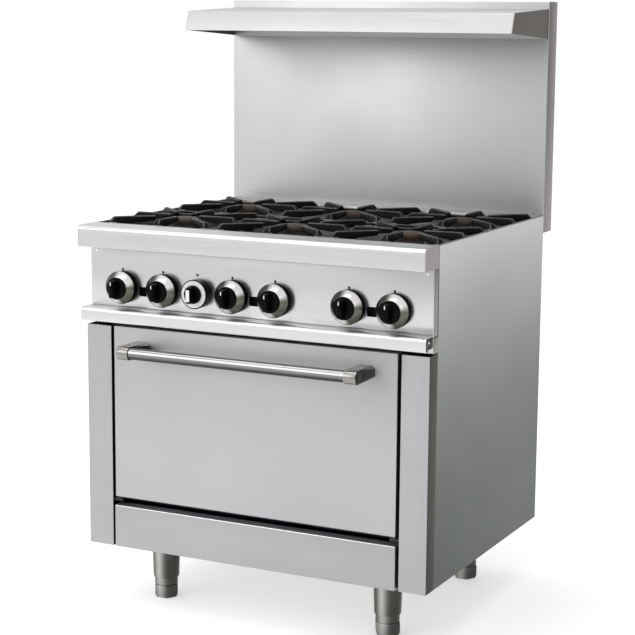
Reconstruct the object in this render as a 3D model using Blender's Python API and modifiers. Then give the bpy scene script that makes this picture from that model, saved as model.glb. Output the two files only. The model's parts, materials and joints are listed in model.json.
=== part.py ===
"""Commercial gas range: six open burners and a crumb tray over one oven, with a shelf on the backguard.

Units are metres. x runs to the right as seen from the front and z runs up from the floor. While
the pieces are made, y runs back from the face of the corner stiles; the last step moves the
range back by CENTRE_Y, so that the origin is under the middle of it.
"""

import math

import bmesh
import bpy
from mathutils import Matrix, Vector

# Sheet metal and the clearance between pieces that touch
SHEET = 0.0015
GAP = 0.0003

# Width, and heights above the floor
HALF_WIDTH = 0.457
BODY_BOTTOM = 0.1535
KICK_TOP = 0.2594
DOOR_BOTTOM = 0.281
DOOR_TOP = 0.7105
STILE_TOP = 0.709
PANEL_BOTTOM = 0.750
RAIL_BOTTOM = 0.904
COOKTOP_TOP = 0.956
GUARD_BOTTOM = 0.911
SHELF_FRONT_TOP = 1.4695
SHELF_BACK_TOP = 1.4805
GUARD_TOP = 1.499

# Depths behind the face of the stiles
RAIL_FRONT = -0.035
PANEL_FRONT = 0.020
SIDE_FRONT = 0.044
BODY_BACK = 0.738
GUARD_FRONT = 0.740
GUARD_BACK = 0.8005

# Stiles, door and kick plate
STILE_INNER = 0.387
DOOR_HALF = 0.379
KICK_HALF = 0.380
DOOR_FRONT = -0.001
DOOR_SKIN_DEPTH = 0.023
HINGE_Y = 0.009
HINGE_Z = 0.272
PIN_RADIUS = 0.005

# Door handle
HANDLE_Y = -0.075
HANDLE_Z = 0.6615
HANDLE_RADIUS = 0.014
SLEEVE_RADIUS = 0.0165
SLEEVE_INNER = 0.2845
SLEEVE_OUTER = 0.3155

# Oven
OVEN_HALF = 0.330
OVEN_FLOOR = 0.300
OVEN_ROOF = 0.660
OVEN_FRONT = 0.0463
OVEN_BACK = 0.690
RACK_Z = 0.472

# Burners: three columns and two rows
COLUMNS = (-0.3048, 0.0, 0.3048)
ROWS = (0.2175, 0.5485)
GRATE_HALF_X = 0.149
GRATE_HALF_Y = 0.142
GRATE_SEAT = 0.9433
GRATE_TOP = 0.966
DECK_BOTTOM = 0.940
DECK_TOP = 0.943

# Controls and gas line
KNOB_Z = 0.8045
VALVE_OFFSET = 0.05715
THERMOSTAT_X = -0.1524
MANIFOLD_Y = 0.060
MANIFOLD_Z = 0.775
MANIFOLD_RADIUS = 0.013
INLET_X = 0.430
STEM_RADIUS = 0.0038

# Legs
LEG_X = 0.3085
LEG_YS = (0.122, 0.620)
SLEEVE_END = 0.053

CENTRE_Y = (HANDLE_Y - SLEEVE_RADIUS + GUARD_BACK) / 2

# Finishes: base colour, roughness, metallic
FINISHES = {
    "brushed_steel": ((0.62, 0.62, 0.61), 0.34, 1.0),
    "polished_steel": ((0.75, 0.75, 0.74), 0.14, 1.0),
    "aluminised_steel": ((0.50, 0.50, 0.49), 0.50, 1.0),
    "cast_iron": ((0.025, 0.025, 0.026), 0.62, 0.4),
    "burner_iron": ((0.10, 0.085, 0.075), 0.70, 0.5),
    "black_plastic": ((0.012, 0.012, 0.012), 0.35, 0.0),
    "brass": ((0.66, 0.48, 0.20), 0.35, 1.0),
    "black_pipe": ((0.03, 0.03, 0.03), 0.45, 0.6),
    "enamel": ((0.05, 0.06, 0.09), 0.20, 0.0),
    "chrome_wire": ((0.70, 0.70, 0.70), 0.18, 1.0),
}


def clear_scene():
    for item in list(bpy.data.objects):
        bpy.data.objects.remove(item, do_unlink=True)


def new_collection(name):
    collection = bpy.data.collections.new(name)
    bpy.context.scene.collection.children.link(collection)
    return collection


clear_scene()
RANGE = new_collection("gas_range")
TOOLS = new_collection("cutters")


# ---------------------------------------------------------------- helpers

def link(name, data, collection):
    item = bpy.data.objects.new(name, data)
    collection.objects.link(item)
    if collection is TOOLS:
        item.hide_render = True
        item.display_type = "WIRE"
    return item


def paint(item, finish):
    """Give the object its own material."""
    colour, roughness, metallic = FINISHES[finish]
    look = bpy.data.materials.new(item.name + "_" + finish)
    look.use_nodes = True
    shader = look.node_tree.nodes["Principled BSDF"]
    shader.inputs["Base Color"].default_value = (*colour, 1.0)
    shader.inputs["Roughness"].default_value = roughness
    shader.inputs["Metallic"].default_value = metallic
    item.data.materials.clear()
    item.data.materials.append(look)
    return item


def shade_round(mesh, angle=math.radians(35)):
    mesh.shade_smooth()
    mesh.set_sharp_from_angle(angle=angle)


def box(name, x, y, z, collection=None):
    """A block between the limits x, y and z, each given as (low, high)."""
    bm = bmesh.new()
    bmesh.ops.create_cube(bm, size=1.0)
    size = Vector((x[1] - x[0], y[1] - y[0], z[1] - z[0]))
    centre = Vector((x[1] + x[0], y[1] + y[0], z[1] + z[0])) / 2
    place = Matrix.Translation(centre) @ Matrix.Diagonal((*size, 1.0))
    bmesh.ops.transform(bm, matrix=place, verts=bm.verts)
    mesh = bpy.data.meshes.new(name)
    bm.to_mesh(mesh)
    bm.free()
    return link(name, mesh, collection or RANGE)


def rod(name, start, end, radius_start, radius_end=None, sides=24, collection=None):
    """A straight round bar or cone between two points."""
    start, end = Vector(start), Vector(end)
    run = end - start
    bm = bmesh.new()
    bmesh.ops.create_cone(bm, cap_ends=True, segments=sides, radius1=radius_start,
                          radius2=radius_end or radius_start, depth=run.length)
    turn = run.to_track_quat("Z", "Y").to_matrix().to_4x4()
    bmesh.ops.transform(bm, matrix=Matrix.Translation((start + end) / 2) @ turn, verts=bm.verts)
    mesh = bpy.data.meshes.new(name)
    bm.to_mesh(mesh)
    bm.free()
    shade_round(mesh)
    return link(name, mesh, collection or TOOLS)


def turned(name, profile, steps=24, collection=None):
    """A turned piece about local z: profile lists (radius, height) down its outer side."""
    mesh = bpy.data.meshes.new(name)
    edges = [(i, i + 1) for i in range(len(profile) - 1)]
    mesh.from_pydata([(r, 0, h) for r, h in profile], edges, [])
    item = link(name, mesh, collection or RANGE)
    screw = item.modifiers.new("turn", "SCREW")
    screw.axis = "Z"
    screw.angle = 2 * math.pi
    screw.steps = screw.render_steps = steps
    screw.use_merge_vertices = True
    screw.merge_threshold = 0.00001
    screw.use_smooth_shade = True
    return item


def as_mesh(item, collection=None):
    """Turn a curve or a piece with modifiers into one plain mesh object of the same name."""
    name = item.name
    evaluated = item.evaluated_get(bpy.context.evaluated_depsgraph_get())
    mesh = bpy.data.meshes.new_from_object(evaluated)
    bm = bmesh.new()
    bm.from_mesh(mesh)
    bmesh.ops.remove_doubles(bm, verts=bm.verts, dist=0.000001)
    bm.to_mesh(mesh)
    bm.free()
    place = item.matrix_world.copy()
    bpy.data.objects.remove(item, do_unlink=True)
    solid = link(name, mesh, collection or RANGE)
    solid.matrix_world = place
    return solid


# Turns that carry an outline's local x, y and z to world directions
OUTLINE_TURNS = {
    "X": Matrix(((0, 0, 1), (1, 0, 0), (0, 1, 0))),
    "Y": Matrix(((1, 0, 0), (0, 0, -1), (0, 1, 0))),
    "Z": Matrix.Identity(3),
}


def outline(name, points, axis, span, collection=None):
    """A flat outline extruded along a world axis over span = (low, high).

    Along X the points are (y, z), along Y they are (x, z) and along Z they are (x, y).
    """
    curve = bpy.data.curves.new(name, "CURVE")
    curve.dimensions = "2D"
    curve.fill_mode = "BOTH"
    curve.extrude = (span[1] - span[0]) / 2
    spline = curve.splines.new("POLY")
    spline.points.add(len(points) - 1)
    for knot, (a, b) in zip(spline.points, points):
        knot.co = (a, b, 0, 1)
    spline.use_cyclic_u = True
    item = link(name, curve, collection or RANGE)
    turn = OUTLINE_TURNS[axis].to_4x4()
    shift = Vector([(span[0] + span[1]) / 2 if axis == letter else 0 for letter in "XYZ"])
    item.matrix_world = Matrix.Translation(shift) @ turn
    bpy.context.view_layer.update()
    return as_mesh(item, collection)


def sheet_outline(path, thickness=SHEET):
    """The closed outline of a bent sheet: the path, and its copy moved to the path's left."""
    path = [Vector(p) for p in path]
    moved = []
    for i, here in enumerate(path):
        before = (here - path[i - 1]).normalized() if i else None
        after = (path[i + 1] - here).normalized() if i < len(path) - 1 else None
        before, after = before or after, after or before
        left = Vector((-before.y - after.y, before.x + after.x)).normalized()
        stretch = left.dot(Vector((-after.y, after.x)))
        moved.append(here + left * (thickness / stretch))
    return [tuple(p) for p in path + moved[::-1]]


def arc(centre, radius, start, end, count):
    """Points on an arc, angles in degrees."""
    angles = [math.radians(start + (end - start) * i / (count - 1)) for i in range(count)]
    return [(centre[0] + radius * math.cos(a), centre[1] + radius * math.sin(a)) for a in angles]


def combine(part, tool, operation):
    modifier = part.modifiers.new(tool.name, "BOOLEAN")
    modifier.operation = operation
    modifier.solver = "EXACT"
    modifier.object = tool
    return part


def cut(part, *cutters):
    for cutter in cutters:
        combine(part, cutter, "DIFFERENCE")
    return part


def weld(part, *pieces):
    for piece in pieces:
        combine(part, piece, "UNION")
    return part


def rounded_route(corners, radius, steps=4):
    """The route through the corners, with an arc of the given bend radius at each inner one."""
    corners = [Vector(c) for c in corners]
    route = [corners[0]]
    for before, here, after in zip(corners, corners[1:], corners[2:]):
        back, on = (before - here).normalized(), (after - here).normalized()
        opening = back.angle(on)
        reach = radius / math.tan(opening / 2)
        centre = here + (back + on).normalized() * (radius / math.sin(opening / 2))
        first, last = here + back * reach - centre, here + on * reach - centre
        for i in range(steps + 1):
            route.append(centre + first.slerp(last, i / steps).normalized() * radius)
    route.append(corners[-1])
    return route


def tube(name, route, radius, resolution=2, collection=None):
    """A round tube along a route, as a mesh with closed ends."""
    curve = bpy.data.curves.new(name, "CURVE")
    curve.dimensions = "3D"
    curve.bevel_depth = radius
    curve.bevel_resolution = resolution
    curve.use_fill_caps = True
    spline = curve.splines.new("POLY")
    spline.points.add(len(route) - 1)
    for knot, place in zip(spline.points, route):
        knot.co = (*place, 1)
    solid = as_mesh(link(name, curve, collection or RANGE), collection)
    shade_round(solid.data)
    return solid


def pivot(name, place):
    """An empty on a joint's axis."""
    item = link(name, None, RANGE)
    item.location = place
    return item


def hang(parent, *items):
    """Parent pieces that are already in place."""
    bpy.context.view_layer.update()
    for item in items:
        item.parent = parent
        item.matrix_parent_inverse = parent.matrix_world.inverted()


# ---------------------------------------------------------------- body

def side_panel(name, side):
    """Outer side: a bent sheet with a top flange, a tab beside the tray and a runner under it."""
    edge = HALF_WIDTH
    profile = sheet_outline([(edge, BODY_BOTTOM), (edge, COOKTOP_TOP), (edge - 0.008, COOKTOP_TOP)])
    profile = [(side * x, z) for x, z in profile]
    panel = outline(name, profile, "Y", (SIDE_FRONT, BODY_BACK))
    limits = sorted((side * 0.423, side * (edge - SHEET / 2)))
    runner = box(name + "_runner", limits, (0.110, 0.700), (0.7095, 0.7119), TOOLS)
    limits = sorted((side * (edge - SHEET), side * edge))
    tab = box(name + "_tab", limits, (PANEL_FRONT + 0.0005, SIDE_FRONT + 0.001),
              (STILE_TOP + 0.003, PANEL_BOTTOM - GAP), TOOLS)
    return paint(weld(panel, runner, tab), "brushed_steel")


def stile(name, side):
    """Front corner post: a U of sheet, open at the back, with a hole for the hinge pin."""
    inner, edge, back = STILE_INNER, HALF_WIDTH, SIDE_FRONT - GAP
    path = [(inner, back), (inner, 0), (edge, 0), (edge, back)]
    profile = [(side * x, y) for x, y in sheet_outline(path)]
    post = outline(name, profile, "Z", (BODY_BOTTOM, STILE_TOP))
    drill = rod(name + "_hinge_hole", (side * (inner - 0.01), HINGE_Y, HINGE_Z),
                (side * (inner + 0.01), HINGE_Y, HINGE_Z), PIN_RADIUS + 0.0005, sides=16)
    return paint(cut(post, drill), "brushed_steel")


def base_frame():
    """Floor pan of the body, with a tongue forward under the kick plate."""
    x, y = HALF_WIDTH - SHEET - GAP, (SIDE_FRONT + GAP, BODY_BACK - SHEET - 0.0003)
    wall = 0.002
    pan = box("base_frame", (-x, x), y, (BODY_BOTTOM, BODY_BOTTOM + 0.045))
    hollow = box("base_hollow", (-x + wall, x - wall), (y[0] + wall, y[1] - wall),
                 (BODY_BOTTOM + wall, BODY_BOTTOM + 0.060), TOOLS)
    tongue = box("base_tongue", (-STILE_INNER + 0.001, STILE_INNER - 0.001), (0.0153, y[0] + 0.001),
                 (BODY_BOTTOM, BODY_BOTTOM + wall), TOOLS)
    return paint(weld(cut(pan, hollow), tongue), "aluminised_steel")


def back_panel():
    x = HALF_WIDTH - SHEET - GAP
    panel = box("back_panel", (-x, x), (BODY_BACK - SHEET, BODY_BACK), (BODY_BOTTOM, DECK_BOTTOM - GAP))
    hole = rod("inlet_hole", (INLET_X, BODY_BACK - 0.01, MANIFOLD_Z),
               (INLET_X, BODY_BACK + 0.01, MANIFOLD_Z), MANIFOLD_RADIUS + 0.003)
    return paint(cut(panel, hole), "aluminised_steel")


def open_pan(name, x, y, z, wall, open_side):
    """A box of sheet with one side open: open_side is front, back, top or bottom."""
    hollow = [[x[0] + wall, x[1] - wall], [y[0] + wall, y[1] - wall], [z[0] + wall, z[1] - wall]]
    axis, end = {"front": (1, 0), "back": (1, 1), "bottom": (2, 0), "top": (2, 1)}[open_side]
    hollow[axis][end] += (2 * end - 1) * 3 * wall
    shell = box(name, x, y, z)
    return cut(shell, box(name + "_hollow", *hollow, TOOLS))


def kick_plate():
    """Fixed plate under the door, with a deeper top flange."""
    plate = open_pan("kick_plate", (-KICK_HALF, KICK_HALF), (-0.003, 0.015), (BODY_BOTTOM, KICK_TOP),
                     SHEET, "back")
    flange = box("kick_flange", (-KICK_HALF, KICK_HALF), (0.010, 0.030), (KICK_TOP - SHEET, KICK_TOP),
                 TOOLS)
    return paint(weld(plate, flange), "brushed_steel")


def control_panel(knob_xs):
    """Front pan that carries the knobs, with a pilot slot between each pair of burner knobs."""
    half = HALF_WIDTH - 0.001
    panel = open_pan("control_panel", (-half, half), (PANEL_FRONT, SIDE_FRONT - GAP),
                     (PANEL_BOTTOM, RAIL_BOTTOM - GAP), SHEET, "back")
    through = (PANEL_FRONT - 0.01, PANEL_FRONT + 0.01)
    for i, x in enumerate(knob_xs):
        cut(panel, rod(f"stem_hole_{i}", (x, through[0], KNOB_Z), (x, through[1], KNOB_Z),
                       STEM_RADIUS + 0.003, sides=16))
    for i, x in enumerate(COLUMNS):
        cut(panel, box(f"pilot_slot_{i}", (x - 0.0135, x + 0.0135), through,
                       (KNOB_Z - 0.0195, KNOB_Z + 0.0035), TOOLS))
    return paint(panel, "brushed_steel")


def front_rail():
    """Bullnose along the front of the cooktop: closed ends, open at the back."""
    def section(inset, back):
        front, low, high = RAIL_FRONT + inset, RAIL_BOTTOM + inset, COOKTOP_TOP - inset
        nose = 0.010 - inset / 2
        bend = arc((front + nose, high - nose), nose, 180, 90, 4)
        return [(back, low), (front, low)] + bend + [(back, high)]

    back = SIDE_FRONT - GAP
    rail = outline("front_rail", section(0, back), "X", (-HALF_WIDTH, HALF_WIDTH))
    inner = HALF_WIDTH - SHEET
    hollow = outline("front_rail_hollow", section(SHEET, back + 0.01), "X", (-inner, inner), TOOLS)
    return paint(cut(rail, hollow), "brushed_steel")


def cooktop_frame():
    """Deck with a seat for each grate and a raised strip along the back."""
    x = HALF_WIDTH - SHEET - GAP
    deck = box("cooktop_frame", (-x, x), (SIDE_FRONT + GAP, BODY_BACK - 0.0005), (DECK_BOTTOM, DECK_TOP))
    for i, cx in enumerate(COLUMNS):
        for j, cy in enumerate(ROWS):
            cut(deck, box(f"burner_well_{i}{j}", (cx - 0.138, cx + 0.138), (cy - 0.131, cy + 0.131),
                          (DECK_BOTTOM - 0.01, DECK_TOP + 0.01), TOOLS))
    strip = box("rear_strip", (-0.4487, 0.4487), (0.697, BODY_BACK - 0.0005),
                (DECK_BOTTOM + 0.001, COOKTOP_TOP), TOOLS)
    return paint(weld(deck, strip), "brushed_steel")


def crumb_tray():
    """Full-width pull-out tray: a pan behind a rolled front lip with open ends."""
    front, top, low, radius, back = -0.026, 0.755, 0.722, 0.009, 0.0185
    path = [(-0.006, low), (front, low)] + arc((front + radius, top - radius), radius, 180, 90, 4)
    path += [(back, top), (back, 0.7125)]
    lip = outline("crumb_tray_lip", sheet_outline(path, -SHEET), "X", (-HALF_WIDTH, HALF_WIDTH), TOOLS)
    pan = open_pan("crumb_tray", (-0.425, 0.425), (back - 0.001, 0.700), (0.7122, 0.742), 0.0012, "top")
    return paint(weld(pan, lip), "brushed_steel")


def backguard():
    """Hollow riser behind the cooktop: open at the bottom, with a flue slot in its top."""
    riser = open_pan("backguard", (-HALF_WIDTH, HALF_WIDTH), (GUARD_FRONT, GUARD_BACK),
                     (GUARD_BOTTOM, GUARD_TOP), SHEET, "bottom")
    slot = box("flue_slot", (-0.40, 0.40), (0.757, 0.784), (GUARD_TOP - 0.01, GUARD_TOP + 0.01), TOOLS)
    return paint(cut(riser, slot), "brushed_steel")


def shelf():
    """High shelf: a top that rises a little to the back, a leaning front lip and closed ends."""
    lip_bottom, end_bottom, lean = 1.420, 1.405, 1 / 3
    front, back = 0.4755, GUARD_FRONT - GAP

    def lip_y(z):
        return front + (z - lip_bottom) * lean

    top_front = (lip_y(SHELF_FRONT_TOP), SHELF_FRONT_TOP)
    outer = [(lip_y(lip_bottom), lip_bottom), top_front, (back, SHELF_BACK_TOP), (back, end_bottom)]
    low, front_high, back_high = end_bottom - 0.015, SHELF_FRONT_TOP - SHEET, SHELF_BACK_TOP - SHEET
    inner = [(lip_y(low) + SHEET, low), (lip_y(front_high) + SHEET, front_high),
             (back - SHEET, back_high), (back - SHEET, low)]
    half = 0.455
    top = outline("shelf", outer, "X", (-half, half))
    hollow = outline("shelf_hollow", inner, "X", (-half + SHEET, half - SHEET), TOOLS)
    return paint(cut(top, hollow), "brushed_steel")


# ---------------------------------------------------------------- oven

def oven_liner():
    """Oven box, open at the front, with a face flange, rack runners and a flue slot."""
    face_back = OVEN_FRONT + SHEET
    liner = box("oven_liner", (-OVEN_HALF - SHEET, OVEN_HALF + SHEET), (OVEN_FRONT, OVEN_BACK + SHEET),
                (OVEN_FLOOR - SHEET, OVEN_ROOF + SHEET))
    face = box("oven_face", (-STILE_INNER + 0.0005, STILE_INNER - 0.0005), (OVEN_FRONT, face_back),
               (0.262, STILE_TOP - 0.0005), TOOLS)
    cavity = box("oven_cavity", (-OVEN_HALF, OVEN_HALF), (OVEN_FRONT - 0.01, OVEN_BACK),
                 (OVEN_FLOOR, OVEN_ROOF), TOOLS)
    flue = box("oven_flue", (-0.15, 0.15), (OVEN_BACK - 0.01, OVEN_BACK + 0.01), (0.615, 0.645), TOOLS)
    weld(liner, face)
    cut(liner, cavity, flue)
    for side in (-1, 1):
        x = sorted((side * 0.321, side * (OVEN_HALF + SHEET / 2)))
        weld(liner, box(f"rack_runner_{side + 1}", x, (0.070, 0.680),
                        (RACK_Z - 0.0085, RACK_Z - 0.0045), TOOLS))
    return paint(liner, "enamel")


def oven_deck():
    """Loose floor plate of the oven, with slots at its sides for the heat."""
    deck = box("oven_deck", (-0.326, 0.326), (0.052, 0.686), (OVEN_FLOOR + GAP, OVEN_FLOOR + 0.0023))
    for i, x in enumerate((-0.295, 0.295)):
        for j, y in enumerate((0.16, 0.37, 0.58)):
            cut(deck, box(f"deck_slot_{i}{j}", (x - 0.008, x + 0.008), (y - 0.08, y + 0.08),
                          (OVEN_FLOOR - 0.01, OVEN_FLOOR + 0.01), TOOLS))
    return paint(deck, "aluminised_steel")


def oven_rack():
    """Wire rack: a round frame with wires from front to back."""
    half, front, back, frame, wire = 0.322, 0.078, 0.655, 0.004, 0.0025
    z = RACK_Z
    rack = tube("oven_rack", [(-half, front, z), (half, front, z)], frame, 1)
    bars = [tube("rack_back", [(-half, back, z), (half, back, z)], frame, 1, TOOLS)]
    for side in (-1, 1):
        x = side * (half - 0.006)
        ends = [(x, front - 0.006, z), (x, back + 0.006, z)]
        bars.append(tube(f"rack_side_{side + 1}", ends, frame, 1, TOOLS))
    for i in range(9):
        x = (i - 4) * 0.066
        ends = [(x, front - 0.005, z + 0.001), (x, back + 0.005, z + 0.001)]
        bars.append(tube(f"rack_wire_{i}", ends, wire, 1, TOOLS))
    return paint(weld(rack, *bars), "chrome_wire")


def oven_burner():
    """Cast tube burner under the oven floor, with its air horn at the front."""
    profile = [(0, 0.48), (0.017, 0.48), (0.020, 0.475), (0.020, 0.06), (0.013, 0.03), (0.021, 0.0),
               (0.017, 0.0), (0.010, 0.03), (0.0, 0.03)]
    burner = turned("oven_burner", profile, 16)
    burner.rotation_euler = (-math.pi / 2, 0, 0)
    burner.location = (0, 0.090, 0.230)
    return paint(burner, "burner_iron")


def oven_gas_line():
    """Tube from the thermostat, down the left side, to the oven burner."""
    side_x, side_y, low = -0.441, 0.094, 0.215
    corners = [(THERMOSTAT_X, 0.0665, 0.812), (THERMOSTAT_X, side_y, 0.812),
               (THERMOSTAT_X, side_y, 0.757), (side_x, side_y, 0.757), (side_x, side_y, low),
               (0.0, 0.064, low), (0.0, 0.064, 0.233)]
    route = rounded_route(corners, 0.009)
    return paint(tube("oven_gas_line", route, 0.0048), "aluminised_steel")


# ---------------------------------------------------------------- door

def door():
    """Drop-down door: front skin, inner liner, handle on two brackets, and a hinge at each corner."""
    skin_back = DOOR_FRONT + DOOR_SKIN_DEPTH
    skin = open_pan("door_skin", (-DOOR_HALF, DOOR_HALF), (DOOR_FRONT, skin_back),
                    (DOOR_BOTTOM, DOOR_TOP), SHEET, "back")
    liner = open_pan("door_liner", (-0.362, 0.362), (skin_back + GAP, OVEN_FRONT - 0.0008),
                     (0.290, 0.700), SHEET, "front")
    pieces = [paint(skin, "brushed_steel"), paint(liner, "aluminised_steel"), handle_bar()]
    for label, side in (("left", -1), ("right", 1)):
        pieces.append(handle_bracket(f"handle_bracket_{label}", side))
        pieces.append(door_hinge(f"door_hinge_{label}", side))
    hang(pivot("door_pivot", (0, HINGE_Y, HINGE_Z)), *pieces)


def handle_bar():
    """Tube between the two brackets."""
    end = SLEEVE_INNER - GAP
    bar = rod("door_handle_bar", (-end, HANDLE_Y, HANDLE_Z), (end, HANDLE_Y, HANDLE_Z), HANDLE_RADIUS,
              sides=32, collection=RANGE)
    bore = rod("handle_bore", (-end - 0.01, HANDLE_Y, HANDLE_Z), (end + 0.01, HANDLE_Y, HANDLE_Z),
               HANDLE_RADIUS - SHEET, sides=32)
    return paint(cut(bar, bore), "polished_steel")


# A square with cut corners, as fractions of its half width and half height
OCTAGON = [(1, 0.55), (0.6, 1), (-0.6, 1), (-1, 0.55), (-1, -0.55), (-0.6, -1), (0.6, -1), (1, -0.55)]


def handle_bracket(name, side):
    """Cast end of the handle: a sleeve in line with the bar, on a post that widens sideways."""
    sleeve = rod(name, (side * SLEEVE_INNER, HANDLE_Y, HANDLE_Z),
                 (side * SLEEVE_OUTER, HANDLE_Y, HANDLE_Z), SLEEVE_RADIUS, sides=28, collection=RANGE)
    middle = side * (SLEEVE_INNER + SLEEVE_OUTER) / 2
    plan = [(middle - 0.0135, HANDLE_Y), (middle + 0.0135, HANDLE_Y),
            (middle + 0.0235, DOOR_FRONT - GAP), (middle - 0.0235, DOOR_FRONT - GAP)]
    post = outline(name + "_post", plan, "Z", (HANDLE_Z - 0.0160, HANDLE_Z + 0.0160), TOOLS)
    ease = [(middle + u * 0.0235, HANDLE_Z + v * 0.0160) for u, v in OCTAGON]
    ends = outline(name + "_ease", ease, "Y", (HANDLE_Y - 0.03, DOOR_FRONT + 0.01), TOOLS)
    combine(post, ends, "INTERSECT")
    bpy.context.view_layer.update()
    return paint(weld(sleeve, post), "polished_steel")


def door_hinge(name, side):
    """Hinge foot under the door with a pin into the stile."""
    pin = rod(name, (side * 0.362, HINGE_Y, HINGE_Z),
              (side * (STILE_INNER + 0.005), HINGE_Y, HINGE_Z), PIN_RADIUS, sides=16, collection=RANGE)
    x = sorted((side * 0.363, side * 0.3785))
    foot = box(name + "_foot", x, (HINGE_Y - 0.0045, HINGE_Y + 0.0045),
               (HINGE_Z, DOOR_BOTTOM - GAP), TOOLS)
    return paint(weld(pin, foot), "aluminised_steel")


# ---------------------------------------------------------------- burners and grates

def finger(name, direction, outer, inner):
    """One raised bar of a grate, from its outer end in towards the burner.

    It is wide at the foot and narrow on top, its outer end slopes, and it gets shallower inwards.
    """
    foot, crown = 0.012, 0.0045
    low_outer, low_inner = 0.002, 0.0105
    top = GRATE_TOP - GRATE_SEAT
    bm = bmesh.new()
    bmesh.ops.create_cube(bm, size=2.0)
    for vert in bm.verts:
        at_outer, at_top, side = vert.co.x > 0, vert.co.z > 0, vert.co.y
        if at_outer:
            along = outer - (0.012 if at_top else 0.0)
        else:
            along = inner + (0.0 if at_top else 0.006)
        half = crown if at_top else foot * (1.0 if at_outer else 0.7)
        height = top if at_top else (low_outer if at_outer else low_inner)
        vert.co = (along, side * half, height)
    bmesh.ops.triangulate(bm, faces=bm.faces)
    angle = math.atan2(direction[1], direction[0])
    bmesh.ops.transform(bm, matrix=Matrix.Rotation(angle, 4, "Z"), verts=bm.verts)
    mesh = bpy.data.meshes.new(name)
    bm.to_mesh(mesh)
    bm.free()
    return link(name, mesh, TOOLS)


def grate_mesh():
    """A cast grate about its own centre: a square rim, four long fingers and four corner fingers."""
    half_x, half_y, bar = GRATE_HALF_X, GRATE_HALF_Y, 0.014
    rim = box("grate_rim", (-half_x, half_x), (-half_y, half_y), (0.0, 0.008), TOOLS)
    cut(rim, box("grate_rim_hollow", (-half_x + bar, half_x - bar), (-half_y + bar, half_y - bar),
                 (-0.01, 0.02), TOOLS))
    corner = math.hypot(half_x, half_y)
    edge = 0.0006
    for i, (dx, dy) in enumerate(((1, 0), (0, 1), (-1, 0), (0, -1))):
        outer = (half_x if dx else half_y) - edge
        weld(rim, finger(f"grate_finger_{i}", (dx, dy), outer, 0.0405))
    for i, (dx, dy) in enumerate(((1, 1), (-1, 1), (-1, -1), (1, -1))):
        weld(rim, finger(f"grate_corner_{i}", (dx * half_x, dy * half_y), corner - 0.014, 0.074))
    bpy.context.view_layer.update()
    return as_mesh(rim, TOOLS).data


def grate(name, mesh, centre):
    item = link(name, mesh.copy(), RANGE)
    item.location = (*centre, GRATE_SEAT)
    return paint(item, "cast_iron")


def burner(name, centre, valve_x):
    """Burner head with a raised cap, and the mixer tube that runs forward to its valve."""
    profile = [(0, 0.9605), (0.020, 0.9605), (0.034, 0.958), (0.0375, 0.953), (0.0375, 0.934),
               (0.044, 0.929), (0.044, 0.914), (0.030, 0.904), (0.018, 0.896), (0, 0.896)]
    head = turned(name, profile, 20)
    head.location = (*centre, 0)
    x, y = centre
    corners = [(valve_x, 0.083, KNOB_Z), (valve_x, y - 0.115, KNOB_Z + 0.004), (x, y, 0.866),
               (x, y, 0.900)]
    mixer = tube(name + "_mixer", rounded_route(corners, 0.022, 3), 0.0125, 2, TOOLS)
    bpy.context.view_layer.update()
    return paint(weld(head, mixer), "burner_iron")


# ---------------------------------------------------------------- gas valves and knobs

def gas_manifold():
    """Gas pipe across the front and back along the right side to the inlet, with a hexagon at its end."""
    corners = [(-0.425, MANIFOLD_Y, MANIFOLD_Z), (INLET_X, MANIFOLD_Y, MANIFOLD_Z),
               (INLET_X, 0.780, MANIFOLD_Z)]
    pipe = tube("gas_manifold", rounded_route(corners, 0.030, 5), MANIFOLD_RADIUS, 3)
    nut = rod("inlet_nut", (INLET_X, 0.744, MANIFOLD_Z), (INLET_X, 0.766, MANIFOLD_Z), 0.019, sides=6)
    return paint(weld(pipe, nut), "black_pipe")


def gas_valve(name, x):
    """Brass valve: body over the manifold, stem through the panel, jet towards the mixer tube."""
    profile = [(0, 0.080), (0.0045, 0.080), (0.006, 0.066), (0.010, 0.064), (0.012, 0.058),
               (0.012, 0.030), (0.008, 0.026), (STEM_RADIUS, 0.026), (STEM_RADIUS, 0.002), (0, 0.002)]
    valve = turned(name, profile, 16)
    valve.rotation_euler = (-math.pi / 2, 0, 0)
    valve.location = (x, 0, KNOB_Z)
    boss = rod(name + "_boss", (x, MANIFOLD_Y, MANIFOLD_Z + MANIFOLD_RADIUS + GAP),
               (x, MANIFOLD_Y, KNOB_Z), 0.007, sides=12)
    top = box(name + "_saddle", (x - 0.009, x + 0.009), (0.036, 0.056), (KNOB_Z, KNOB_Z + 0.018), TOOLS)
    bpy.context.view_layer.update()
    return paint(weld(valve, boss, top), "brass")


def thermostat():
    """Oven thermostat behind the panel, with its stem."""
    body = box("thermostat", (THERMOSTAT_X - 0.022, THERMOSTAT_X + 0.022), (0.028, 0.0662),
               (MANIFOLD_Z + MANIFOLD_RADIUS + GAP, 0.838))
    stem = rod("thermostat_stem", (THERMOSTAT_X, 0.006, KNOB_Z), (THERMOSTAT_X, 0.030, KNOB_Z),
               STEM_RADIUS, sides=16)
    return paint(weld(body, stem), "aluminised_steel")


def knob(name, x, profile, ridge):
    """A control knob turned about the stem, with a straight grip ridge across its face.

    Local z points out of the panel; ridge gives the half width, half height, foot and front.
    """
    item = turned(name, profile, 32)
    item.rotation_euler = (math.pi / 2, 0, 0)
    item.location = (x, PANEL_FRONT, KNOB_Z)
    half_width, half_height, foot, front = ridge
    grip = box(name + "_ridge", (x - half_width, x + half_width),
               (PANEL_FRONT - front, PANEL_FRONT - foot), (KNOB_Z - half_height, KNOB_Z + half_height), TOOLS)
    bpy.context.view_layer.update()
    return paint(weld(item, grip), "black_plastic")


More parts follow.
